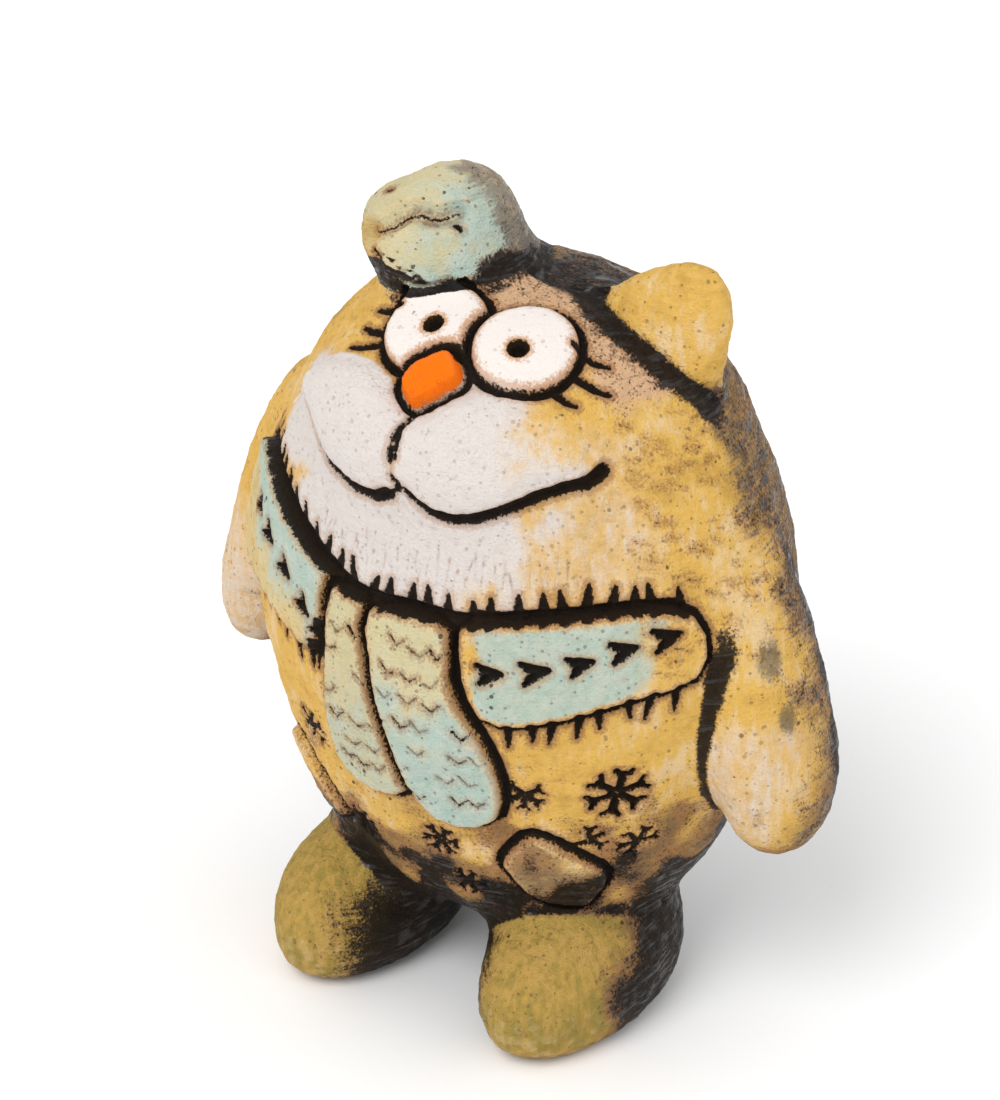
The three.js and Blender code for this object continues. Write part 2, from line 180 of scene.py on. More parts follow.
def egg_rings():
    """Radius and height of the rings that the body's facets hang on."""
    reach = np.hypot(hull[:, 0] - EGG_AXIS[0], (hull[:, 1] - SEAM) / EGG_RATIO)
    heights, index, count = np.unique(np.round(hull[:, 2], 1), return_inverse=True, return_counts=True)
    rings = [(reach[index == k].max(), heights[k]) for k in range(len(heights)) if count[k] >= 8]
    return np.array([(0.0, EGG_LOW[2])] + [r for r in rings if r[0] > 1] + [(0.0, EGG_HIGH[2])])


def egg_mesh(rows=96, columns=128):
    line = smooth_line(egg_rings(), rows + 1)
    turn = np.arange(columns) * 2 * math.pi / columns
    points = np.stack([
        EGG_AXIS[0] + np.outer(line[1:-1, 0], np.cos(turn)),
        SEAM + np.outer(line[1:-1, 0], np.sin(turn)) * EGG_RATIO,
        np.repeat(line[1:-1, 1:], columns, 1),
    ], -1).reshape(-1, 3)
    ends = np.array([[EGG_AXIS[0], SEAM, line[0, 1]], [EGG_AXIS[0], SEAM, line[-1, 1]]])
    points = np.vstack([points, ends])
    row, column = np.meshgrid(np.arange(rows - 2), np.arange(columns), indexing="ij")
    beside = (column + 1) % columns
    a, b = row * columns + column, row * columns + beside
    c, d = b + columns, a + columns
    wall = np.concatenate([np.stack([a, b, c], -1), np.stack([a, c, d], -1)]).reshape(-1, 3)
    first, last, foot = np.arange(columns), np.arange(columns) + (rows - 2) * columns, len(points) - 2
    under = np.stack([np.full(columns, foot), (first + 1) % columns, first], 1)
    next_last = (last + 1 - (rows - 2) * columns) % columns + (rows - 2) * columns
    over = np.stack([np.full(columns, foot + 1), last, next_last], 1)
    return points, np.vstack([wall, under, over])


egg_points, egg_triangles = egg_mesh()
egg_tree = tree_of(egg_points, egg_triangles)


def egg_outward(points):
    """The way out of the egg at each point."""
    return unit((points - EGG_AXIS) / EGG_HALF ** 2)


# ---- the worked skin ----
class Skin:
    """The figure's outside: points, four-cornered faces, a few odd faces, and fields on the points."""

    def __init__(self, points, quads):
        self.points, self.quads = points, quads
        self.odd, self.odd_base = [], np.zeros((0, 4), np.int64)
        self.fields = {}

    def edges(self):
        loops = np.vstack([np.stack([self.quads[:, k], self.quads[:, (k + 1) % 4]], 1) for k in range(4)])
        odd = [(f[k], f[(k + 1) % len(f)]) for f in self.odd for k in range(len(f))]
        if odd:
            loops = np.vstack([loops, np.array(odd)])
        return np.unique(np.sort(loops, 1), axis=0)

    def rub(self, passes, share=0.5, weight=1.0):
        """Each pass moves every point part of the way to the middle of its neighbours."""
        a, b = self.edges().T
        size = len(self.points)
        count = np.bincount(a, minlength=size) + np.bincount(b, minlength=size)
        for _ in range(passes):
            middle = np.stack([
                np.bincount(a, self.points[b, k], size) + np.bincount(b, self.points[a, k], size)
                for k in range(3)
            ], 1) / np.maximum(count, 1)[:, None]
            self.points = self.points + (middle - self.points) * (share * np.reshape(weight, (-1, 1)))

    def normals(self):
        faces = np.vstack([self.quads, self.odd_base])
        a, b, c, d = (self.points[faces[:, k]] for k in range(4))
        across = np.cross(c - a, d - b)
        total = np.stack([
            sum(np.bincount(faces[:, end], across[:, k], len(self.points)) for end in range(4))
            for k in range(3)
        ], 1)
        return unit(total)

    def divided(self, chosen):
        """The skin with the chosen faces cut in four. Plain neighbours keep the new points on their edges."""
        size = len(self.points)
        picked, plain = self.quads[chosen], self.quads[~chosen]
        pairs = np.stack([picked, np.roll(picked, -1, 1)], -1)
        keys = np.sort(pairs, -1) @ np.array([size, 1])
        known, place = np.unique(keys, return_inverse=True)
        place = place.reshape(keys.shape) + size
        ends = np.stack([known // size, known % size], 1)
        hub = size + len(known) + np.arange(len(picked))
        cut = Skin(None, None)
        rows = [np.stack([picked[:, k], place[:, k], hub, place[:, (k + 3) % 4]], 1) for k in range(4)]
        sides = np.sort(np.stack([plain, np.roll(plain, -1, 1)], -1), -1) @ np.array([size, 1])
        at = np.minimum(np.searchsorted(known, sides), len(known) - 1)
        split = known[at] == sides
        mixed = split.any(1)
        cut.quads = np.vstack(rows + [plain[~mixed]])
        cut.odd_base = plain[mixed]
        for face, halves, where in zip(plain[mixed], split[mixed], at[mixed]):
            loop = []
            for k in range(4):
                loop.append(int(face[k]))
                if halves[k]:
                    loop.append(int(where[k]) + size)
            cut.odd.append(loop)

        def carried(values):
            return np.concatenate([values, values[ends].mean(1), values[picked].mean(1)])

        cut.points = carried(self.points)
        cut.fields = {key: carried(values) for key, values in self.fields.items()}
        return cut


HAT_SETTLE = np.array([-0.5, 2.0, 1.2])  # the hat is pushed back and up a little as it is luted on
HAT_SQUEEZE = 0.9
EAR_SPREAD = np.array([1.22, 1.1, 1.0])  # the ear is pinched wider
EAR_SHIFT = np.array([-2.2, 0.0, -0.3])


def stock_mesh(name):
    """A node's mesh as the potter leaves it before the skin is worked."""
    points, triangles = node_mesh(name)
    if name.startswith("hat"):
        points = points + HAT_SETTLE
        edge = points[:, 0].min()
        points[:, 0] = edge + (points[:, 0] - edge) * HAT_SQUEEZE
    if name == "ear_left":
        middle = (points.min(0) + points.max(0)) / 2
        points = middle + (points - middle) * EAR_SPREAD + EAR_SHIFT
    return points, triangles


def first_skin():
    """All lumps grown until they meet, fused into one even skin."""
    stock = [(egg_points, egg_triangles)]
    for name in LUMPS + LOBES:
        points, triangles = stock_mesh(name)
        stock.append((points + corner_normals(points, triangles) * LUTE, triangles))
    start, points, faces = 0, [], []
    for places, triangles in stock:
        points.append(places)
        faces.append(triangles + start)
        start += len(places)
    mesh = bpy.data.meshes.new("clay_stock")
    mesh.from_pydata((np.vstack(points) / MM).tolist(), [], np.vstack(faces).tolist())
    lump = bpy.data.objects.new("clay_stock", mesh)
    bpy.context.scene.collection.objects.link(lump)
    fuse = lump.modifiers.new("fuse", "REMESH")
    fuse.mode = "VOXEL"
    fuse.voxel_size = SKIN_PITCH / MM
    whole = lump.evaluated_get(bpy.context.evaluated_depsgraph_get()).to_mesh()
    places = np.empty(len(whole.vertices) * 3)
    whole.vertices.foreach_get("co", places)
    quads = np.array([tuple(p.vertices) for p in whole.polygons if len(p.vertices) == 4])
    bpy.data.objects.remove(lump)
    bpy.data.meshes.remove(mesh)
    return outer_skin(Skin(places.reshape(-1, 3) * MM, quads))


def outer_skin(skin):
    """Only the largest connected sheet of the fused skin."""
    a, b = skin.edges().T
    label = np.arange(len(skin.points))
    while True:
        before = label.copy()
        np.minimum.at(label, a, label[b])
        np.minimum.at(label, b, label[a])
        label = label[label]
        if (before == label).all():
            break
    kept = label == np.bincount(label).argmax()
    renumber = np.cumsum(kept) - 1
    return Skin(skin.points[kept], renumber[skin.quads[kept[skin.quads[:, 0]]]])


skin = first_skin()
skin.rub(FILLET_PASSES)


def felt_distance(tree, points):
    return np.array([tree.find_nearest(Vector(p))[3] for p in points])


skin.fields["near_egg"] = felt_distance(egg_tree, skin.points)
for name in LUMPS + LOBES:
    skin.fields["near_" + name] = felt_distance(tree_of(*stock_mesh(name)), skin.points)
coarse_tree = tree_of(skin.points, skin.quads)
skin = skin.divided(np.ones(len(skin.quads), bool))
skin.rub(FINE_PASSES)
facing = skin.normals()[skin.quads].mean(1) @ unit(np.array(FACE_WAY))
skin = skin.divided((facing > FACE_TURN) & (skin.points[skin.quads][..., 2].mean(1) > EGG_LOW[2]))
skin.rub(FINE_PASSES)


# ---- edges of the reliefs ----
def foot_line(name):
    """Where a relief meets the body: segment starts, segment ends and the way into the relief."""
    points, triangles = node_mesh(name)
    middles = points[triangles].mean(1)
    under = (unit(face_normals(points, triangles)) * egg_outward(middles)).sum(1) < -0.5
    sides, owner = [], []
    for k in range(3):
        sides.append(np.stack([triangles[under, k], triangles[under, (k + 1) % 3]], 1))
        owner.append(middles[under])
    sides, owner = np.vstack(sides), np.vstack(owner)
    _, first, count = np.unique(np.sort(sides, 1), axis=0, return_index=True, return_counts=True)
    edge = first[count == 1]
    a, b = points[sides[edge, 0]], points[sides[edge, 1]]
    way = owner[edge] - (a + b) / 2
    along = unit(b - a)
    return a, b, unit(way - (way * along).sum(1, keepdims=True) * along)


def parts_near(points, path, reach, size):
    """Indices of the points within reach of the box round a path, in parts of about that size."""
    low, high = path.min(0) - reach, path.max(0) + reach
    near = np.nonzero(((points > low) & (points < high)).all(1))[0]
    return [part for part in np.array_split(near, max(1, len(near) // size)) if len(part)]


def gaps_to(points, starts, runs):
    """From the nearest place on every segment to each point, and how far along the segment it is."""
    gap = points[:, None] - starts
    share = np.clip((gap * runs).sum(-1) / np.maximum((runs ** 2).sum(1), 1e-9), 0, 1)
    return gap - share[..., None] * runs, share


def offset_from(segments, points, normals, reach):
    """Distance over the skin to the nearest segment: positive inside, -reach where none is felt."""
    a, b, way = segments
    felt = np.full(len(points), -float(reach))
    for part in parts_near(points, np.vstack([a, b]), reach, 4000):
        gap, _ = gaps_to(points[part], a, b - a)
        normal = normals[part][:, None]
        gap = gap - (gap * normal).sum(-1, keepdims=True) * normal
        length = np.linalg.norm(gap, axis=-1)
        nearest = length.argmin(1)
        row = np.arange(len(part))
        sign = np.where((gap[row, nearest] * way[nearest]).sum(-1) >= 0, 1.0, -1.0)
        felt[part] = np.maximum(sign * length[row, nearest], -reach)
    return felt


foot_lines = {name: foot_line(name) for name in PLATES + LOBES}
nose_middle = (corner("nose", 0, 0, 0) + corner("nose", 1, 1, 1)) / 2
NOSE_SPREAD = np.array([1.08, 1.08, 1.16])  # the soft cone is pressed flat and spreads
a, b, way = foot_lines["nose"]
foot_lines["nose"] = (*(nose_middle + (end - nose_middle) * NOSE_SPREAD for end in (a, b)), way)
normals = skin.normals()
inside = {name: offset_from(foot_lines[name], skin.points, normals, RIM_REACH) for name in foot_lines}

for name in BANDS + TAILS + PATCHES:
    inside[name] = np.where(skin.fields["near_egg"] < 3.5, inside[name], -RIM_REACH)

# the eyes are rolled ovals: the left one lies over the right one, the nose over both
EYE_HALF = (corner("eye_left", 1, 0, 0)[0] - corner("eye_left", 0, 0, 0)[0]) / 2
EYE_PLACES = {"eye_left": (0.5, 0.47, 0.56), "eye_right": (0.48, 0.44, 0.52)}
for name, shares in EYE_PLACES.items():
    middle = corner(name, *shares)
    out = egg_outward(middle)
    level = unit(np.cross([0, 0, 1], out))
    gap = skin.points - middle
    oval = np.hypot(gap @ level / EYE_HALF, gap @ np.cross(out, level) / (EYE_HALF * 1.02))
    shallow = (np.abs(gap @ out) < 7) & (skin.fields["near_egg"] < 4)
    inside[name] = np.where(shallow, np.maximum((1 - oval) * EYE_HALF, -RIM_REACH), -RIM_REACH)
inside["eye_left"] = np.minimum(inside["eye_left"], -inside["nose"] - 0.3)
inside["eye_right"] = np.minimum(inside["eye_right"], np.minimum(-inside["nose"], -inside["eye_left"]) - 0.3)


def proud_height(name):
    """How far a relief stands off the egg."""
    reach = [egg_tree.find_nearest(Vector(p))[3] for p in node_mesh(name)[0]]
    return float(np.percentile(reach, 90))


# ---- tool marks ----
class Mark:
    """A line drawn in the clay: a path over the skin, its width and depth, and how dark it fires."""

    def __init__(self, path, width, depth, dark=1.0, taper=0.4):
        self.path = np.asarray(path, float)
        self.width, self.depth, self.dark, self.taper = width, depth, dark, taper


marks = []
egg_line = smooth_line(egg_rings(), 200)


def away(point, direction=(0, 0, 0), length=0.0):
    """A point moved and laid back on the skin."""
    moved = np.asarray(point) + np.asarray(direction, float) * length
    return np.array(coarse_tree.find_nearest(Vector(moved))[0])


def spot(turn, height):
    """The place on the skin that many degrees round from the front and that far above the belly."""
    t, z = math.radians(turn), EGG_LOW[2] + height
    reach = np.interp(z, egg_line[:, 1], egg_line[:, 0])
    return away((EGG_AXIS[0] + reach * math.sin(t), SEAM - reach * EGG_RATIO * math.cos(t), z))


def flat_at(point):
    """The two ways along the skin at a point: level toward the cat's left, and up."""
    outward = egg_outward(point)
    level = unit(np.cross([0, 0, 1], outward))
    return level, np.cross(outward, level)


def draw(path, width, depth, dark=1.0, taper=0.4):
    marks.append(Mark(path, width, depth, dark, taper))


def ordered_edge(name, keep):
    """Middles and outward ways of part of a relief's foot line, from the cat's right to its left."""
    a, b, way = foot_lines[name]
    middle = (a + b) / 2
    kept = keep(way, middle)
    order = np.argsort(middle[kept][:, 0])
    return middle[kept][order], -way[kept][order]


def spikes(line, up, spacing, length, width, depth, start=0.0, skip=0.0):
    """Short cuts standing off a line at uneven steps, wide at the foot and pointed at the end."""
    line = np.asarray(line)
    way = np.concatenate([[0], np.cumsum(np.linalg.norm(np.diff(line, axis=0), axis=1))])
    for mark in np.arange(start + spacing * 0.4, way[-1], spacing):
        at = mark + rng.normal() * spacing * 0.09
        foot = np.array([np.interp(at, way, line[:, k]) for k in range(3)])
        reach, lean = length * (1 + rng.normal() * 0.16), rng.normal() * 0.16
        level, rise = flat_at(foot)
        out = rise * up + level * lean
        if rng.random() >= skip:
            path = [away(foot, out, -0.4), away(foot, out, reach * 0.5), away(foot, out, reach)]
            draw(path, width, depth, taper=0.72)


# chin line along the upper edge of the whole scarf, with pointed cuts standing up from it
SCARF_ACROSS = ("scarf_band_right", "scarf_tail_back", "scarf_tail_front", "scarf_band_left")
edges = [ordered_edge(name, lambda way, middle: way[:, 2] < -0.55) for name in SCARF_ACROSS]
chin_points = np.vstack([e[0] for e in edges])
chin_points = chin_points[np.argsort(chin_points[:, 0])]
knots = np.linspace(0, len(chin_points) - 1, 12).astype(int)
chin_line = [away(p) for p in smooth_line([chin_points[max(0, k - 2):k + 3].mean(0) for k in knots], 70)]
draw(chin_line, 2.7, 1.8, taper=0.1)
draw(chin_line[12:50], 3.5, 1.6, taper=0.3)
spikes(chin_line, 1, 4.5, 4.6, 2.9, 1.2)

# cuts hanging from the scarf's lower edges
for name, start in (("scarf_band_left", 3.0), ("scarf_band_right", 2.0)):
    middles, _ = ordered_edge(name, lambda way, middle: way[:, 2] > 0.6)
    spikes(middles, -1, 4.8, 5.4, 2.2, 1.15, start=start)

# mouth: the lower edges of both lobes and the cleft between them
MOUTH_UP = 0.12


def lobe_edge(name, keep):
    """Some pieces of a lobe's foot line."""
    a, b, way = foot_lines[name]
    kept = keep(way, np.abs((a + b) / 2 - EGG_AXIS)[:, 0])
    return a[kept], b[kept], way[kept]


mouth = [lobe_edge(name, lambda way, aside: (way[:, 2] > MOUTH_UP) & (aside > 2)) for name in LOBES]
cleft = [lobe_edge(name, lambda way, aside: aside < 3) for name in LOBES]

# lashes, each from the eye's rim outward: degrees round and height at both ends
LASHES = [
    ((50, 134.4), (60, 132.0)), ((46, 131.2), (56, 128.2)), ((38, 128.9), (44, 126.8)),
    ((-31, 131.4), (-41, 130.0)), ((-29, 129.4), (-37, 126.6)), ((-34, 134.6), (-44, 132.6)),
]
for (turn, height), (far_turn, far_height) in LASHES:
    middle = spot((turn + far_turn) / 2, (height + far_height) / 2 - 0.4)
    draw([spot(turn, height), middle, spot(far_turn, far_height)], 1.9, 1.0, taper=0.5)


def dart(point, along, size):
    """A stamped arrowhead: two sides that meet at the tip and a deep notch between them."""
    up = unit(np.cross(egg_outward(point), along))
    tip = away(point, along, size * 0.62)
    for side in (1, -1):
        wing = point - along * size * 0.48 + up * side * size * 0.46
        draw([away(wing), tip], 1.25, 1.2, taper=0.0)
        notch = away((wing + point - along * size * 0.05) / 2)
        draw([notch, away(point, along, size * 0.3)], 1.6, 1.5, taper=0.0)


DARTS = {
    # degrees round and height above the belly, then the size
    "scarf_band_left": ([(22, 77.9), (31, 79.2), (40, 81.0), (49, 83.4), (58.5, 84.8)], 4.3),
    "scarf_band_right": ([(-46, 90.0), (-38, 87.4), (-29.5, 83.8), (-22, 79.1), (-17, 75.4)], 3.3),
}
for places, size in DARTS.values():
    spots = [spot(*place) for place in places]
    for k, place in enumerate(spots):
        ahead = spots[k + 1] if k + 1 < len(spots) else 2 * spots[k] - spots[k - 1]
        dart(place, unit(ahead - place), size * (0.92 + 0.16 * rng.random()))

# knit scallops nicked into the hanging ends
SCALLOPS = {"scarf_tail_front": (0.84, 0.1, 7), "scarf_tail_back": (0.8, 0.12, 7)}
for name, (top, bottom, rows) in SCALLOPS.items():
    low, high = corner(name, 0, 0, 0)[2], corner(name, 1, 1, 1)[2]
    ends = np.concatenate(foot_lines[name][:2])
    for row in range(rows):
        height = low + (high - low) * (top + (bottom - top) * row / (rows - 1))
        crossing = ends[np.abs(ends[:, 2] - height) < 3][:, 0]
        left, right = np.percentile(crossing, [10, 90])
        count = max(2, int((right - left) / 4.4))
        step = (right - left) / count
        for k in range(count):
            across = left + step * (k + 0.5 + 0.22 * (-1) ** row + rng.normal() * 0.06)
            if rng.random() < 0.2 or not left + 1.2 < across < right - 1.2:
                continue
            middle = away((across, corner(name, 0, 0, 0)[1], height + rng.normal() * 0.4))
            level, up = flat_at(middle)
            half = step * (0.3 + 0.12 * rng.random())
            droop, lean = 1.2 + rng.random() * 0.6, rng.normal() * 0.3
            path = [away(middle - level * half + up * (droop + lean)), middle,
                    away(middle + level * half + up * (droop - lean))]
            draw(path, 0.66 + rng.random() * 0.3, 0.5, dark=0.44 + 0.34 * rng.random(), taper=0.3)


def snowflake(turn, height, radius, width, depth, dark, spin, wear=0.0):
    """Six forked arms round a small plain middle."""
    middle = spot(turn, height)
    level, up = flat_at(middle)

    def reach(angle, share):
        return away(middle + (level * math.cos(angle) + up * math.sin(angle)) * radius * share)

    for arm in range(6):
        angle = math.radians(60 * arm + spin)
        if rng.random() < wear:
            continue
        draw([reach(angle, 0.17), reach(angle, 0.78)], width, depth, dark, taper=0.0)
        for fork in (16, -16):
            if rng.random() >= wear:
                tine = [reach(angle, 0.66), reach(angle + math.radians(fork), 0.97)]
                draw(tine, width * 0.72, depth * 0.9, dark, taper=0.1)


snowflake(50, 48.7, 6.6, 1.75, 1.4, 1.0, 20)
WORN = [(29, 48.4), (44.5, 36.0), (58, 34.0), (7.5, 31.4), (-19, 26.7), (13, 20.5), (-29, 47.0)]
for turn, height in WORN:
    snowflake(turn, height, 4.0 + rng.random() * 0.7, 1.6, 0.7, 0.78, rng.random() * 60, wear=0.15)

# dimples in the brow, the crease of the cuff and tears in the hat
for aside, back in ((10.6, 2.4), (17.0, 1.5)):
    above_brow = Vector((EGG_AXIS[0] + aside, SEAM + back, EGG_HIGH[2] + 40))
    brow = np.array(coarse_tree.ray_cast(above_brow, Vector((0, 0, -1)))[0])
    draw([away(brow, (math.cos(t), math.sin(t) * 0.6, 0), 1.4) for t in np.linspace(0, 2 * math.pi, 9)],
         0.8, 0.4, dark=0.6, taper=0)
CREASE = [
    (0.22, 0.12, 0.70), (0.25, 0.1, 0.74), (0.36, 0.12, 0.86), (0.45, 0.21, 0.94), (0.60, 0.2, 1.02),
    (0.70, 0.28, 1.08),
]
crease = smooth_line([away(corner("hat_brim", *shares) + HAT_SETTLE) for shares in CREASE], 24)
draw([away(p) for p in crease], 6.0, 2.5, dark=0.0, taper=0.25)
draw([away(p) for p in crease], 1.1, 0.5, dark=0.74, taper=0.3)
TEARS = [
    # node and shares of its box, the way the tear runs, then its length, width and depth
    ("hat_crown", (0.72, 0.12, 0.62), (1, 0, -0.5), 1.1, 1.1, 0.9),
    ("hat_crown", (0.05, 0.3, 0.4), (1, 0, -0.5), 1.2, 1.1, 0.9),
    ("hat_brim", (0.28, 0.04, 0.62), (1, 0.2, -0.3), 1.2, 1.2, 1.0),
]
for name, shares, along, length, width, depth in TEARS:
    tear = away(corner(name, *shares))
    draw([tear, away(tear, along, length)], width, depth, taper=0.2)

# dry hatching on the cheek and shoulder, combed strokes under the mouth
for _ in range(110):
    hatch = spot(rng.uniform(52, 84), rng.uniform(76, 124))
    level, up = flat_at(hatch)
    draw([hatch, away(hatch, level - up * (0.35 + rng.normal() * 0.15), rng.uniform(1.5, 4.0))],
         0.55, 0.2, dark=0.3 + 0.35 * rng.random())
for turn in np.arange(-26, 42, 2.0):
    head, foot = 98 + rng.normal() * 1.2 + max(0, turn - 10) * 0.1, 92.5 + rng.normal() * 1.6
    draw([spot(turn + rng.normal() * 0.5, head), spot(turn + rng.normal() * 0.8, foot)], 0.8, 0.22, dark=0.12)


# ---- clay moved by the tools ----
def stroke_depth(points):
    """Depth of cut and darkness at each point, over all marks."""
    depth, dark, wide = np.zeros(len(points)), np.zeros(len(points)), np.zeros(len(points))
    for mark in marks:
        runs = np.diff(mark.path, axis=0)
        for part in parts_near(points, mark.path, mark.width / 2 + 2.3, 20000):
            gap, share = gaps_to(points[part], mark.path[:-1], runs)
            length = np.linalg.norm(gap, axis=-1)
            nearest = length.argmin(1)
            row = np.arange(len(part))
            distance = length[row, nearest]
            way = (nearest + share[row, nearest]) / len(runs)
            slim = 1 - mark.taper * way
            half = mark.width / 2 * slim
            cut = eased(distance, half * 1.35, half * 0.35)
            depth[part] = np.maximum(depth[part], cut * mark.depth * slim)
            dark[part] = np.maximum(dark[part], eased(distance, half + RAGGED, half - RAGGED) * mark.dark)
            wide[part] = np.maximum(wide[part], eased(distance, half + 2.2, half * 0.6) * mark.dark)
    return depth, dark, wide


cut_depth, carved, halo = stroke_depth(skin.points)
lift = np.zeros(len(skin.points))
PLATE_SOFTNESS = {"nose": 1.1, "eye_left": 2.6, "eye_right": 2.6}
for name in PLATES:
    felt = inside[name]
    softness = PLATE_SOFTNESS.get(name, 1.5)
    lift += proud_height(name) * np.sqrt(np.clip(felt / softness, 0, 1)) * eased(felt, -0.1, 1.0)
    out = 0.75 if name == "nose" else 0.25
    groove = eased(np.abs(felt + out), RIM_GROOVE * 1.5, RIM_GROOVE * 0.3)
    strength = {"patch_right": 0.6, "scarf_tail_back": 0.8}.get(name, 1.0)
    cut_depth = np.maximum(cut_depth, groove * RIM_DEPTH * strength)
    line_gap = np.abs(felt + out)
    line_half = RIM_GROOVE + 0.1
    carved = np.maximum(carved, eased(line_gap, line_half + RAGGED, line_half - RAGGED) * strength)
    halo = np.maximum(halo, eased(line_gap, RIM_GROOVE + 2.6, RIM_GROOVE * 0.8) * strength)
for segments, half, depth in [(m, 1.6, 1.95) for m in mouth] + [(c, 0.6, 1.1) for c in cleft]:
    felt = np.abs(offset_from(segments, skin.points, normals, 4.0))
    cut_depth = np.maximum(cut_depth, eased(felt, half * 1.5, half * 0.3) * depth)
    carved = np.maximum(carved, eased(felt, half + RAGGED, half - RAGGED))
    halo = np.maximum(halo, eased(felt, half + 2.2, half))

# drilled pupils, oxide rubbed round the worn stamps, and the firing vent
PUPILS = {"eye_left": (0.49, 0.38, 0.49), "eye_right": (0.54, 0.42, 0.50)}
pupil = np.zeros(len(skin.points))
for name, (x, y, z) in PUPILS.items():
    gap = np.linalg.norm(skin.points - away(corner(name, x, y, z)), axis=1)
    pupil = np.maximum(pupil, eased(gap, 2.4, 1.7))
    cut_depth = np.maximum(cut_depth, eased(gap, 2.2, 0.7) * 2.6)
    halo = np.maximum(halo, eased(gap, 4.2, 2.0) * 0.8)
    carved = np.maximum(carved, eased(gap, 2.8, 1.3))
for place in WORN:
    gap = np.linalg.norm(skin.points - spot(*place), axis=1)
    halo = np.maximum(halo, eased(gap, 6.0, 1.0) * 0.6)
# painted shade: the vent is only a shallow dimple; its floor is painted black here and sooted below, standing
# for the dark inside of the hole
vent_place = np.array([EGG_AXIS[0], SEAM + VENT_BEHIND, EGG_LOW[2]])
vent_gap = np.hypot(*(skin.points - vent_place)[:, :2].T)
vent = eased(vent_gap, VENT_HALF + 1.1, VENT_HALF) * (skin.points[:, 2] < EGG_LOW[2] + 8)
carved = np.maximum(carved, vent)


def unevenness(scale, octaves, shift):
    offset = Vector((shift, shift * 0.7, -shift))
    return np.array([noise.fractal(Vector(p) / scale + offset, 0.9, 2.0, octaves) for p in skin.points])


ear_front = (skin.points[:, 1] < SEAM + 5) * eased(np.abs(skin.fields["near_egg"] - 0.6), 2.6, 0.4)
ear_crease = ear_front * eased(skin.fields["near_ear_left"], 2.6, 0.5)
cut_depth = np.maximum(cut_depth, ear_crease * 1.2)
lumpy = unevenness(11.0, 2, 3.0)
dented = unevenness(2.3, 3, 17.0)
on_floor = eased(skin.points[:, 2], 0.3, 3.0)
smooth_slip = 1 - 0.6 * eased(np.maximum(inside["eye_left"], inside["eye_right"]), 0, 2)
worked = (lumpy * LUMPINESS + dented * DENTS) * on_floor * smooth_slip
skin.points = skin.points + normals * (worked + lift - cut_depth)[:, None]
skin.points[:, 2] += vent * VENT_DEEP
floor_level = cad_box[0][2] * MM
skin.points[:, 2] = np.maximum(skin.points[:, 2], floor_level)
final_normals = skin.normals()

# ---- where each slip and stain was brushed and where light and shade are painted, 0 to 1 ----
x, y, z = skin.points.T
across, behind, above = x - EGG_AXIS[0], y - SEAM, z - EGG_LOW[2]
turn = np.degrees(np.arctan2(across, -behind / EGG_RATIO))
near_egg = skin.fields["near_egg"]


def near(name):
    return skin.fields["near_" + name]


def on_lump(name, soft=2.0):
    return eased(near_egg - near(name), -soft * 0.2, soft)


def wash(low, high, values, rough=0.35):
    """A brushed area with an uneven edge."""
    return eased(values + lumpy * rough * abs(high - low), low, high)


def share_of(name, axis):
    low, high = corner(name, 0, 0, 0)[axis], corner(name, 1, 1, 1)[axis]
    return (skin.points[:, axis] - low) / (high - low)


blurred = Skin(skin.points, skin.quads)
blurred.odd, blurred.odd_base = skin.odd, skin.odd_base
blurred.rub(14)
hollow = ((blurred.points - skin.points) * final_normals).sum(1)

hat = np.maximum(on_lump("hat_brim"), on_lump("hat_crown"))
arm = {side: on_lump("arm_" + side) for side in ("left", "right")}
foot = {side: on_lump("foot_" + side, 3) for side in ("left", "right")}
feet = np.maximum(foot["left"], foot["right"])
tails = {name: eased(inside[name], 0.1, 1.4) for name in TAILS}
bands = {name: eased(inside[name], 0.3, 1.6) for name in BANDS}
plain_body = 1 - np.max([eased(inside[name], -0.6, 0.2) for name in BANDS + TAILS + PATCHES], axis=0)

# white: the lobes, paling upward and outward, the chin down to the scarf, the cheeks and the hands
lobes = np.maximum(inside["muzzle_left"], inside["muzzle_right"])
brow_side = wash(-8, 4, turn) * wash(42, 24, turn) * wash(113, 118, above) * eased(above, 134, 129)
lobe_white = np.maximum(eased(lobes, -1.8, 0.6), brow_side * 0.9)
lobe_white *= 1 - 0.8 * wash(14, 48, turn) * wash(106, 124, above)
lobe_white *= 1 - 0.8 * wash(-38, -56, turn) * eased(above, 112, 122)
chin = 0.92 * wash(-46, -30, turn) * wash(58, 10, turn)
chin *= eased(above, 114, 109) * eased(above, 84, 88) * (behind < 0)
chin *= 1 - 0.5 * wash(0.2, 1.0, (turn - 10) / 30) * eased(above, 104, 92)
cheek = wash(-62, -46, turn) * wash(0, -14, turn) * wash(96, 104, above) * wash(128, 120, above) * 0.85
beside_mouth = 0.46 * wash(20, 30, turn) * wash(74, 50, turn)
beside_mouth *= wash(86, 96, above) * wash(130, 118, above)
hand = share_of("arm_left", 2)
hand_left = arm["left"] * wash(0.58, 0.36, hand) * wash(0.03, 0.16, hand) * wash(10, -3, behind)
hand_left *= 0.5 * (1 - 0.6 * wash(66, 71, x))
hand_right = arm["right"] * wash(0.85, 0.3, share_of("arm_right", 2)) * 0.55
fields = {"carved": carved, "halo": halo, "hollow": np.clip(hollow / 0.35, -1, 1)}
whites = [lobe_white, chin * plain_body, cheek, beside_mouth * plain_body, hand_left, hand_right]
fields["white"] = np.clip(np.max(whites, axis=0), 0, 1)
eyes = np.maximum(eased(inside["eye_left"], -0.1, 0.9), eased(inside["eye_right"], -0.1, 0.9))
fields["eye"] = eyes * (1 - pupil)
fields["orange"] = eased(inside["nose"], -0.2, 0.9)

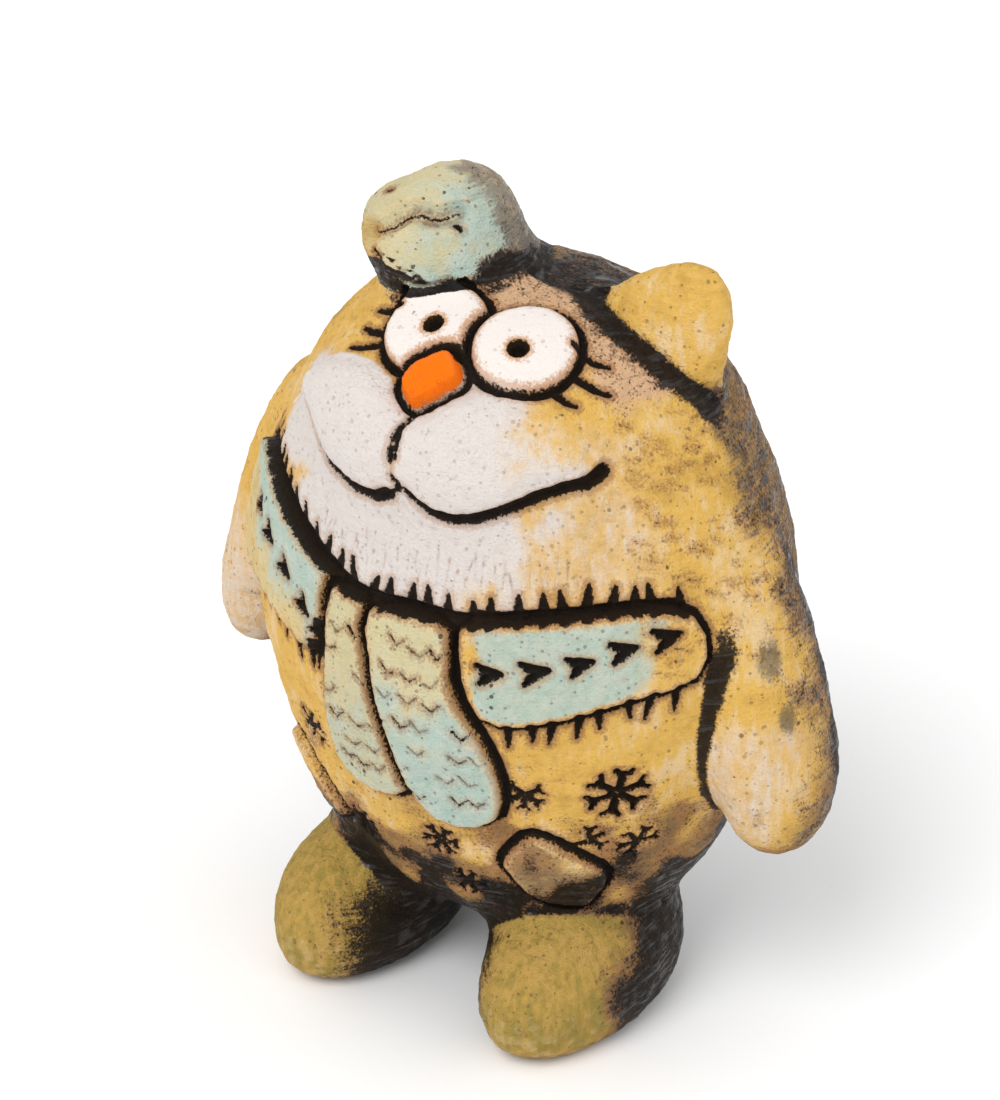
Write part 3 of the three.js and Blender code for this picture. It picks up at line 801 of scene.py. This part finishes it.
# blue and sage: the scarf and the hat
band = share_of("scarf_band_left", 0)
band_blue = eased(inside["scarf_band_left"], 0.6, 3.2) * eased(band + lumpy * 0.12, 0.02, 0.2)
band_blue *= eased(band + lumpy * 0.15, 0.98, 0.58)
tail = share_of("scarf_tail_front", 2)
tail_blue = tails["scarf_tail_front"] * (0.35 + 0.65 * eased(tail + lumpy * 0.2, 0.75, 0.35))
back_blue = tails["scarf_tail_back"] * 0.55 * eased(share_of("scarf_tail_back", 2) + lumpy * 0.2, 0.9, 0.3)
right_band = share_of("scarf_band_right", 2) + share_of("scarf_band_right", 0)
right_blue = bands["scarf_band_right"] * wash(0.25, 0.75, right_band - 0.4)
brim = share_of("hat_brim", 0)
brim_side = hat * wash(0.95, 0.4, share_of("hat_brim", 2)) * wash(0.6, 0.1, brim)
hat_blue = hat * (0.26 + 0.6 * wash(0.4, 0.85, brim, 0.6)) * wash(12, -3, behind, 0.5)
fields["blue"] = np.clip(band_blue + tail_blue + back_blue + right_blue + hat_blue, 0, 1)
toe = share_of("foot_left", 1)
toe_blue = foot["right"] * wash(-38, -44, across) * 0.3
fields["sage"] = np.clip(
    hat * (1 - 0.8 * brim_side) + tails["scarf_tail_back"] * 0.85 + tails["scarf_tail_front"] * 0.85
    + bands["scarf_band_right"] * 0.6 + bands["scarf_band_left"] * 0.25
    + eased(inside["patch_left"], 0.2, 1.4) * 0.5 + toe_blue, 0, 1)
fields["moss"] = np.clip(
    brim_side * 0.6 + feet * wash(0.8, 0.45, toe) + wash(40, 8, above, 0.5) * 0.5
    + tails["scarf_tail_front"] * 0.12, 0, 1)

# brown and black: oxide left on the underside, the crown, the flanks and in every hollow, with painted shade
# under the hat's cuff, a painted highlight on the crown and streaks that are partly a wash and partly painted
# sheen
low_belly = wash(54, 20, above, 0.6) * (1 - feet)
low_belly *= 1 - 0.9 * tails["scarf_tail_front"]
ear = on_lump("ear_left", 1.5)
crown = wash(121, 129, above, 0.3) * wash(-22, -12, behind, 0.4) * wash(-50, -30, turn)
crown *= eased(behind, 30, 8) * (1 - hat) * (1 - eyes) * (1 - ear * 0.85)
flank = wash(75, 98, np.abs(turn), 0.5) * (1 - hat) * (1 - ear)
arm_back = np.maximum(arm["left"], arm["right"]) * wash(4, 15, behind, 0.5)
back_of_hat = hat * wash(0, 13, behind + brim * 9, 0.5)
heel = feet * wash(0.36, 0.62, toe, 0.35)
centre = [corner("foot_" + side, 0.5, 0, 0)[0] - EGG_AXIS[0] for side in ("left", "right")]
beside_foot = foot["left"] * wash(4, 16, np.abs(across - centre[0]))
beside_foot += foot["right"] * wash(3, 15, across - centre[1])
beside_foot *= wash(0.1, 0.4, toe, 0.3) * wash(25, 12, z)
groin = np.exp(-(across / 20) ** 2) * wash(20, 4, above, 0.4) * (behind < 20)
pit_left = eased(near("arm_left"), 4.6, 1.0) * eased(near_egg, 4.0, 0.6)
pit_left *= wash(92, 72, above) * (1 - 0.7 * wash(2, 12, behind))
pit_right = eased(near("arm_right"), 6.0, 1.0) * eased(near_egg, 2.8, 0.4) * wash(96, 80, above)
under_hat = eased(near("hat_brim"), 4.6, 0.8) * eased(near_egg, 2.6, 0.3) * (1 - eyes)
crease_gap = np.min([np.linalg.norm(skin.points - p, axis=1) for p in crease], axis=0)
# painted shade: the cuff's faces that turn downward are darkened, apart from the crease
painted_shade_under_brim = wash(0.36, -0.1, final_normals[:, 2]) * eased(crease_gap, 3.5, 6.5)
# stain where the hat meets the head, together with the painted shade under the cuff
brim_stain_and_shade = hat * np.maximum(wash(8, 2.5, near_egg, 0.6), painted_shade_under_brim) * wash(14, 4, behind)
fields["carved"] = np.maximum(carved, eyes * eased(near("hat_brim"), 2.2, 0.6))
ear_root = eased(near("ear_left"), 7.0, 1.0) * eased(near_egg, 4.0, 0.6) * wash(7, -1, behind, 0.3)
fields["brown"] = np.clip(
    low_belly + crown * 0.3 + flank * 0.8 + arm_back * 0.6 + heel + back_of_hat * 0.7
    + ear_root * 0.6 + brim_stain_and_shade * 0.9 + pit_left * 0.9 + beside_foot * 1.2
    + feet * (0.2 + 0.4 * eased(z, 6, 0)), 0, 1)
fields["soot"] = np.clip(
    groin * 1.2 + beside_foot * 0.85 + pit_left * 1.35 + pit_right + under_hat * 1.1
    + brim_stain_and_shade * 0.95 + ear_root * 0.95 + heel * 0.8 + vent + crown * 0.2
    + wash(36, 10, above, 0.6) * (1 - feet) * 1.1 + flank * 0.55 + arm_back * 0.4, 0, 1)
# painted highlight: the lit parts of the stained crown are given a light pinkish-orange tone
fields["peach_highlight"] = crown
# ash-coloured streaks: a wash on the flanks, the backs of the arms and the heels, and painted sheen over the
# dark glaze on the back of the hat and the crown
fields["grey_wash_and_sheen"] = np.clip(
    flank * 0.5 + back_of_hat * 0.9 + crown * 0.3 + arm_back * 0.35 + heel * 0.12, 0, 1)
smudge = crown * 0.42
for shares, size in (((0.54, 0.27, 0.67), 3.4), ((0.75, 0.3, 0.49), 2.6)):
    gap = np.linalg.norm((skin.points - away(corner("arm_left", *shares))) * (1, 1, 0.7), axis=1)
    smudge = np.maximum(smudge, eased(gap, size * 1.7, size * 0.3))
fields["smudge"] = smudge

# ---- parting the skin into pieces ----
ALL_NODES = ["body_front_half", "body_back_half", *LUMPS, *LOBES, *PLATES]
faces = [tuple(f) for f in skin.quads.tolist()] + [tuple(f) for f in skin.odd]
sides = np.concatenate([[0], np.cumsum([len(f) for f in faces])])
flat = np.concatenate([skin.quads.ravel(), np.concatenate([np.array(f) for f in skin.odd])])


def over_face(values):
    return np.add.reduceat(values[flat], sides[:-1]) / np.diff(sides)


def owner_of_faces():
    """Which node each face of the skin stands for."""
    felt = np.stack([over_face(near_egg)] + [over_face(skin.fields["near_" + n]) for n in LUMPS], 1)
    lump = felt.argmin(1)
    owner = np.where(over_face(skin.points[:, 1]) < SEAM, 0, 1)
    owner = np.where(lump > 0, lump + 1, owner)
    for name in LOBES + PLATES:
        owner = np.where(over_face(inside[name]) > 0, ALL_NODES.index(name), owner)
    return owner


def closed_piece(name, chosen):
    """The chosen faces as one closed piece: its open edges turn inward and are closed behind."""
    own = [faces[f] for f in chosen]
    used = np.unique(np.concatenate([np.array(f) for f in own]))
    renumber = np.full(len(skin.points), -1)
    renumber[used] = np.arange(len(used))
    own = [tuple(int(renumber[v]) for v in f) for f in own]
    count = {}
    for f in own:
        for a, b in zip(f, f[1:] + f[:1]):
            count[(a, b)] = count.get((a, b), 0) + 1
    open_edges = [(a, b) for a, b in count if (b, a) not in count]
    points, outward = skin.points[used], final_normals[used]
    rim_points = sorted({v for edge in open_edges for v in edge})
    sunk = {v: len(points) + k for k, v in enumerate(rim_points)}
    depth = SOCKET if name.startswith("body") else SOCKET * 0.7
    values = {key: value[used] for key, value in fields.items()}
    if rim_points:
        points = np.vstack([points, points[rim_points] - outward[rim_points] * depth])
        outward = np.vstack([outward, outward[rim_points]])
        values = {key: np.concatenate([value, value[rim_points]]) for key, value in values.items()}
    group = {v: v for v in rim_points}

    def root(v):
        while group[v] != v:
            group[v] = group[group[v]]
            v = group[v]
        return v

    for a, b in open_edges:
        group[root(a)] = root(b)
    hubs = {}
    for v in rim_points:
        hubs.setdefault(root(v), []).append(v)
    for start, ring in hubs.items():
        middle = points[[sunk[v] for v in ring]].mean(0)
        points = np.vstack([points, middle])
        outward = np.vstack([outward, unit(outward[ring].mean(0))])
        values = {key: np.append(value, value[ring].mean()) for key, value in values.items()}
        hubs[start] = len(points) - 1
    for a, b in open_edges:
        own.append((b, a, sunk[a], sunk[b]))
        own.append((sunk[b], sunk[a], hubs[root(a)]))
    floor = floor_level + 0.01
    points[:, 2] = np.maximum(points[:, 2], floor_level if name.startswith("foot") else floor)
    mesh = bpy.data.meshes.new(name)
    mesh.from_pydata((points / MM).tolist(), [], own)
    for key, value in values.items():
        mesh.attributes.new(key, "FLOAT", "POINT").data.foreach_set("value", value.astype(np.float32))
    mesh.polygons.foreach_set("use_smooth", [True] * len(mesh.polygons))
    mesh.normals_split_custom_set_from_vertices(outward.tolist())
    piece = bpy.data.objects.new(name, mesh)
    bpy.context.scene.collection.objects.link(piece)
    return piece


# ---- finishes ----
class Wire:
    """A number, colour or vector on its way through a finish."""

    def __init__(self, finish, socket):
        self.finish, self.socket = finish, socket

    def worked(self, operation, a, b=None, c=None):
        return self.finish.node("ShaderNodeMath", {"operation": operation}, {0: a, 1: b, 2: c})

    def __add__(self, other):
        return self.worked("ADD", self, other)

    def __sub__(self, other):
        return self.worked("SUBTRACT", self, other)

    def __rsub__(self, other):
        return self.worked("SUBTRACT", other, self)

    def __mul__(self, other):
        return self.worked("MULTIPLY", self, other)

    def __pow__(self, other):
        return self.worked("POWER", self, other)

    __radd__, __rmul__ = __add__, __mul__

    def most(self, other):
        return self.worked("MAXIMUM", self, other)

    def step(self, low, high):
        """0 at low, 1 at high, smooth between; turned round when high is the smaller."""
        ends = {1: low, 2: high, 3: 0.0, 4: 1.0} if low < high else {1: high, 2: low, 3: 1.0, 4: 0.0}
        return self.finish.node("ShaderNodeMapRange", {"interpolation_type": "SMOOTHSTEP"}, {0: self, **ends})


class Finish:
    """A fired ceramic finish, built up wash by wash."""

    def __init__(self, name):
        self.material = bpy.data.materials.new(name)
        self.material.use_nodes = True
        self.tree = self.material.node_tree
        self.shader = self.tree.nodes["Principled BSDF"]
        place = self.node("ShaderNodeTexCoord", {}, {}, "Object")
        self.place = self.vector("SCALE", place, Scale=MM)

    def node(self, kind, settings, inputs, output=0):
        made = self.tree.nodes.new(kind)
        for key, value in settings.items():
            setattr(made, key, value)
        for key, value in inputs.items():
            self.feed(made.inputs[key], value)
        return Wire(self, made.outputs[output])

    def feed(self, socket, value):
        if isinstance(value, Wire):
            self.tree.links.new(value.socket, socket)
        elif value is not None:
            socket.default_value = value

    def vector(self, operation, a, b=None, **named):
        return self.node("ShaderNodeVectorMath", {"operation": operation}, {0: a, 1: b, **named})

    def mix(self, under, over, share):
        inputs = {0: share, 6: self.colour(under), 7: self.colour(over)}
        return self.node("ShaderNodeMix", {"data_type": "RGBA"}, inputs, 2)

    def colour(self, value):
        return value if isinstance(value, Wire) else (*value, 1.0)

    def field(self, name):
        return self.node("ShaderNodeAttribute", {"attribute_name": name}, {}, "Fac")

    def cloud(self, size, detail=3.0, stretch=(1, 1, 1), roughness=0.5, shift=0.0):
        """Uneven tone, 0 to 1, with lumps of about that many millimetres."""
        at = self.vector("MULTIPLY_ADD", self.place, tuple(1 / (size * s) for s in stretch))
        self.feed(at.socket.node.inputs[2], (shift, shift, shift))
        inputs = {"Vector": at, "Scale": 1.0, "Detail": detail, "Roughness": roughness}
        return self.node("ShaderNodeTexNoise", {}, inputs)

    def pits(self, size, shift=0.0):
        """Distance to the nearest grain of grog and a number of its own for that grain."""
        at = self.vector("MULTIPLY_ADD", self.place, (1 / size,) * 3)
        self.feed(at.socket.node.inputs[2], (shift, shift, shift))
        grain = self.node("ShaderNodeTexVoronoi", {}, {"Vector": at, "Scale": 1.0})
        drawn = Wire(self, grain.socket.node.outputs["Color"])
        return grain, self.node("ShaderNodeSeparateColor", {}, {0: drawn})


OCHRE = (0.83, 0.505, 0.12)
OCHRE_PALE = (0.87, 0.63, 0.34)
OCHRE_DEEP = (0.58, 0.33, 0.075)
WHITE = (0.80, 0.74, 0.71)
WHITE_WARM = (0.80, 0.585, 0.38)
EYE_WHITE = (0.78, 0.715, 0.67)
ORANGE = (0.93, 0.165, 0.002)
BLUE = (0.43, 0.61, 0.56)
BLUE_PALE = (0.55, 0.66, 0.60)
SAGE = (0.68, 0.68, 0.47)
MOSS = (0.33, 0.255, 0.06)
UMBER = (0.17, 0.105, 0.07)
RUST = (0.38, 0.175, 0.075)
RUST_DARK = (0.13, 0.06, 0.03)
EMBER = (0.50, 0.21, 0.05)
IRON = (0.008, 0.006, 0.005)
TOE_GOLD = (0.56, 0.35, 0.085)
# colour of the streaks that are partly a wash and partly painted sheen
ASH_WASH_AND_SHEEN = (0.22, 0.20, 0.185)
PLUM = (0.075, 0.07, 0.06)
# tone of the painted highlight on the crown
PEACH_HIGHLIGHT = (0.74, 0.47, 0.31)

GRAIN_RISE = 0.65  # height of the clay's grain, in millimetres
SLOT_TONES = {
    "ochre_clay": 1.0, "stained_clay": 0.86, "moss_clay": 0.95, "white_slip": 1.04,
    "orange_slip": 1.0, "blue_slip": 1.0, "sage_slip": 0.97,
}


def fired(slot):
    """Slips and oxide over grogged clay, as they came out of the kiln, with a painted highlight, painted
    sheen and painted shade among them.
    """
    f = Finish(slot)
    blotch = f.cloud(13, 4, shift=2)
    mottle = f.cloud(3.2, 4, roughness=0.62, shift=9)
    grit = f.cloud(0.4, 3, roughness=0.7, shift=5)
    brush = f.cloud(1.1, 3, stretch=(9, 9, 0.62), roughness=0.6, shift=11)
    sweep = f.cloud(1.3, 3, stretch=(1.2, 1.2, 7), roughness=0.6, shift=21)
    fringe = f.cloud(0.6, 3, roughness=0.65, shift=31)
    grain, grain_own = f.pits(1.15, 3)
    coarse, coarse_own = f.pits(3.4, 8)
    pit = (grain_own ** 3 * 0.38 + (fringe - 0.5) * 0.3 - grain).step(0.0, 0.06)
    hole = (coarse_own ** 3 * 0.2 + (fringe - 0.5) * 0.16 - coarse).step(0.04, 0.07)
    ragged = (mottle - 0.5) * 0.55 + (grit - 0.5) * 0.25
    torn = ragged * 0.5 + (fringe - 0.5) * 1.05
    carved = (f.field("carved") + torn * 0.95).step(0.38, 0.56)
    halo = (f.field("halo") + torn * 1.7).step(0.25, 0.85)
    hollow = f.field("hollow")
    sunk = (hollow + ragged * 0.8).step(0.05, 0.75)
    proud = (hollow * -1.0 + ragged * 0.5).step(0.1, 0.8)

    slip = (blotch + (mottle - 0.5) * 0.6 + (brush - 0.5) * 0.25).step(0.16, 0.52)
    tone = f.mix(OCHRE_DEEP, OCHRE, slip)
    rubbed = (blotch + (sweep - 0.5) * 0.7 + (fringe - 0.5) * 0.3).step(0.48, 0.75)
    tone = f.mix(tone, OCHRE_PALE, rubbed * 0.9)
    moss = (f.field("moss") + ragged * 0.7).step(0.2, 0.7)
    green = f.mix(MOSS, TOE_GOLD, (sweep * 0.55 + blotch * 0.45 + (fringe - 0.5) * 0.25).step(0.38, 0.6))
    green = f.mix(green, RUST, (mottle + (fringe - 0.5) * 0.9).step(0.62, 0.8) * 0.55)
    tone = f.mix(tone, green, moss * 0.9)
    sage = (f.field("sage") + ragged * 0.8 + (brush - 0.5) * 0.3).step(0.25, 0.85)
    tone = f.mix(tone, SAGE, sage * 0.72)
    blue = (f.field("blue") + (sweep - 0.5) * 0.5 + ragged * 0.8).step(0.3, 0.85)
    tone = f.mix(tone, f.mix(BLUE, BLUE_PALE, mottle.step(0.35, 0.65)), blue * 0.85)
    white = (f.field("white") + (sweep - 0.5) * 0.4 + ragged * 0.4).step(0.08, 0.88)
    chalk = f.mix(WHITE_WARM, WHITE, (mottle * 0.5 + white * 0.9).step(0.5, 0.98))
    tone = f.mix(tone, chalk, white * 0.96)
    # painted highlight on the crown, in a light pinkish-orange
    peach_highlight = (f.field("peach_highlight") + torn * 0.5).step(0.2, 0.7)
    tone = f.mix(tone, PEACH_HIGHLIGHT, peach_highlight * 0.8)
    brown = (f.field("brown") + ragged * 0.7 + torn * 0.7 + (brush - 0.5) * 0.55).step(0.28, 0.9)
    earth = f.mix(UMBER, RUST, (blotch + (fringe - 0.5) * 0.5).step(0.36, 0.56) * 0.85)
    tone = f.mix(tone, earth, brown * 0.82)
    # ash-coloured streaks, partly a wash and partly painted sheen on the dark glaze
    grey_wash_and_sheen = (f.field("grey_wash_and_sheen") + (brush - 0.5) * 1.2).step(0.3, 0.75)
    tone = f.mix(tone, ASH_WASH_AND_SHEEN, grey_wash_and_sheen * 0.62)
    eye = f.field("eye").step(0.35, 0.8)
    chalk = f.mix(WHITE_WARM, EYE_WHITE, (f.field("eye") + (mottle - 0.5) * 0.5).step(0.6, 0.95))
    tone = f.mix(tone, chalk, eye)
    orange = (f.field("orange") + torn * 0.7).step(0.38, 0.55)
    tone = f.mix(tone, ORANGE, orange)
    tone = f.mix(tone, OCHRE_PALE, proud * 0.4 * (1.0 - eye) * (1.0 - orange) * (1.0 - white))
    around_cut = halo * 0.74 * (1.0 - orange * 0.8) * (1.0 - white * 0.5) * (1.0 - blue * 0.45)
    tone = f.mix(tone, f.mix(RUST, EMBER, white.most(eye)), around_cut)
    tone = f.mix(tone, f.mix(UMBER, RUST, white.most(eye)), sunk * 0.62 * (1.0 - eye * 0.35))
    quiet = 1.0 - orange * 0.8 - eye * 0.55 - white * (1.0 - eye) * 0.6
    tone = f.mix(tone, UMBER, pit * 0.5 * quiet)
    tone = f.mix(tone, IRON, hole * 0.75 * quiet)
    smudge = (f.field("smudge") + ragged * 1.1 + torn * 0.9).step(0.35, 0.95)
    tone = f.mix(tone, PLUM, smudge * 0.7)
    speck = (fringe * 0.6 + grit * 0.4 + (mottle - 0.5) * 0.3).step(0.55, 0.62)
    tone = f.mix(tone, IRON, speck * (peach_highlight * 0.85).most(brown * 0.8) * (1.0 - eye))
    soot = (f.field("soot") + ragged * 0.9 + torn * 0.7 + (brush - 0.5) * 0.4).step(0.3, 0.95)
    oxide = f.mix(RUST_DARK, IRON, (soot + (fringe - 0.5) * 0.5).step(0.25, 0.75))
    tone = f.mix(tone, oxide, soot.step(0.0, 0.7) * 0.96)
    tone = f.mix(tone, IRON, carved * 0.97)
    tone = f.node("ShaderNodeHueSaturation", {}, {"Value": SLOT_TONES[slot], "Color": tone})

    glassy = (carved * 0.55).most(soot * 0.7).most(grey_wash_and_sheen * 0.6).most(smudge * 0.5)
    glassy = glassy.most(orange * 0.35).most(eye * 0.45)
    roughness = 0.74 + (mottle - 0.5) * 0.25 - glassy * 0.5
    height = (grit - 0.5) * 0.8 + (fringe - 0.5) * 1.0 + (mottle - 0.5) * 0.9
    height = height + (sweep - 0.5) * 0.5 - pit * 0.6 - hole * 1.2
    height = height + (brush - 0.5) * (grey_wash_and_sheen + 0.25) * 1.3
    height = height * (1.0 - orange * 0.6 - eye * 0.6) - carved * 0.3
    bump = f.node("ShaderNodeBump", {}, {"Strength": 1.0, "Distance": GRAIN_RISE / MM, "Height": height})
    f.feed(f.shader.inputs["Base Color"], tone)
    f.feed(f.shader.inputs["Roughness"], roughness)
    wet = (brush * 0.6 + mottle * 0.4).step(0.5, 0.6)
    pooled = soot.most(grey_wash_and_sheen).most(smudge) * (1.0 - carved * 0.6)
    f.feed(f.shader.inputs["Coat Weight"], pooled * wet * 0.6)
    f.shader.inputs["Specular IOR Level"].default_value = 0.08
    f.shader.inputs["Coat Roughness"].default_value = 0.2
    f.feed(f.shader.inputs["Normal"], bump)
    return f.material


finishes = {slot: fired(slot) for slot in SLOT_TONES}
slot_of = {part["node"]: part["material_slot"] for part in frame["record"]["subparts"]}
owner = owner_of_faces()
for number, name in enumerate(ALL_NODES):
    piece = closed_piece(name + "_worked", np.nonzero(owner == number)[0])
    piece.data.materials.append(finishes[slot_of[name]])
    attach(piece, "root")
    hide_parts(name)

# ---- table, light and view ----
TABLE = 8.0  # metres from the middle to the edge
table_mesh = bpy.data.meshes.new("table_top")
table_corners = [(-TABLE, -TABLE, 0), (TABLE, -TABLE, 0), (TABLE, TABLE, 0), (-TABLE, TABLE, 0)]
table_mesh.from_pydata(table_corners, [], [(0, 1, 2, 3)])
table = bpy.data.objects.new("table_top", table_mesh)
bpy.context.scene.collection.objects.link(table)
paper = Finish("white_paper")
fibre = paper.cloud(0.8, 3)
paper.feed(paper.shader.inputs["Base Color"], paper.mix((0.93, 0.93, 0.93), (0.96, 0.96, 0.96), fibre))
paper.feed(paper.shader.inputs["Roughness"], fibre * 0.1 + 0.85)
table_mesh.materials.append(paper.material)
table.location.z = cad_box[0][2]


def direction(azimuth, elevation):
    a, e = math.radians(azimuth), math.radians(elevation)
    return Vector((math.sin(a) * math.cos(e), -math.cos(a) * math.cos(e), math.sin(e)))


VIEW_AZIMUTH, VIEW_ELEVATION, VIEW_DISTANCE = 34, 29, 0.85
SENSOR = 36
LENS = 4.1905 * SENSOR
AIM_HEIGHT = 0.080
AIM_RIGHT, AIM_UP = -0.00507, 0.0095
aim = Vector((EGG_AXIS[0] / MM, SEAM / MM, AIM_HEIGHT))
camera = bpy.data.objects.new("view", bpy.data.cameras.new("view"))
bpy.context.scene.collection.objects.link(camera)
camera.data.sensor_fit = "HORIZONTAL"
camera.data.sensor_width = SENSOR
camera.data.lens = LENS
back_along = direction(VIEW_AZIMUTH, VIEW_ELEVATION)
turned = back_along.to_track_quat("Z", "Y")
aside = turned @ Vector((1, 0, 0)) * AIM_RIGHT + turned @ Vector((0, 1, 0)) * AIM_UP
camera.location = aim + back_along * VIEW_DISTANCE + aside
camera.rotation_euler = turned.to_euler()
camera.data.clip_start = 0.01
bpy.context.scene.camera = camera


def lamp(name, azimuth, elevation, spread, power):
    light = bpy.data.lights.new(name, "SUN")
    light.angle, light.energy = math.radians(spread), power
    held = bpy.data.objects.new(name, light)
    held.rotation_euler = direction(azimuth, elevation).to_track_quat("Z", "Y").to_euler()
    bpy.context.scene.collection.objects.link(held)


lamp("key", -2, 50, 36, 1.45)
lamp("side", 95, 30, 50, 0.25)
world = bpy.data.worlds.new("studio")
bpy.context.scene.world = world
world.use_nodes = True
glow = world.node_tree.nodes["Background"]
glow.inputs["Color"].default_value = (1, 1, 1, 1)
glow.inputs["Strength"].default_value = 0.85
bpy.context.scene.view_settings.view_transform = "Standard"
bpy.context.scene.view_settings.look = "None"
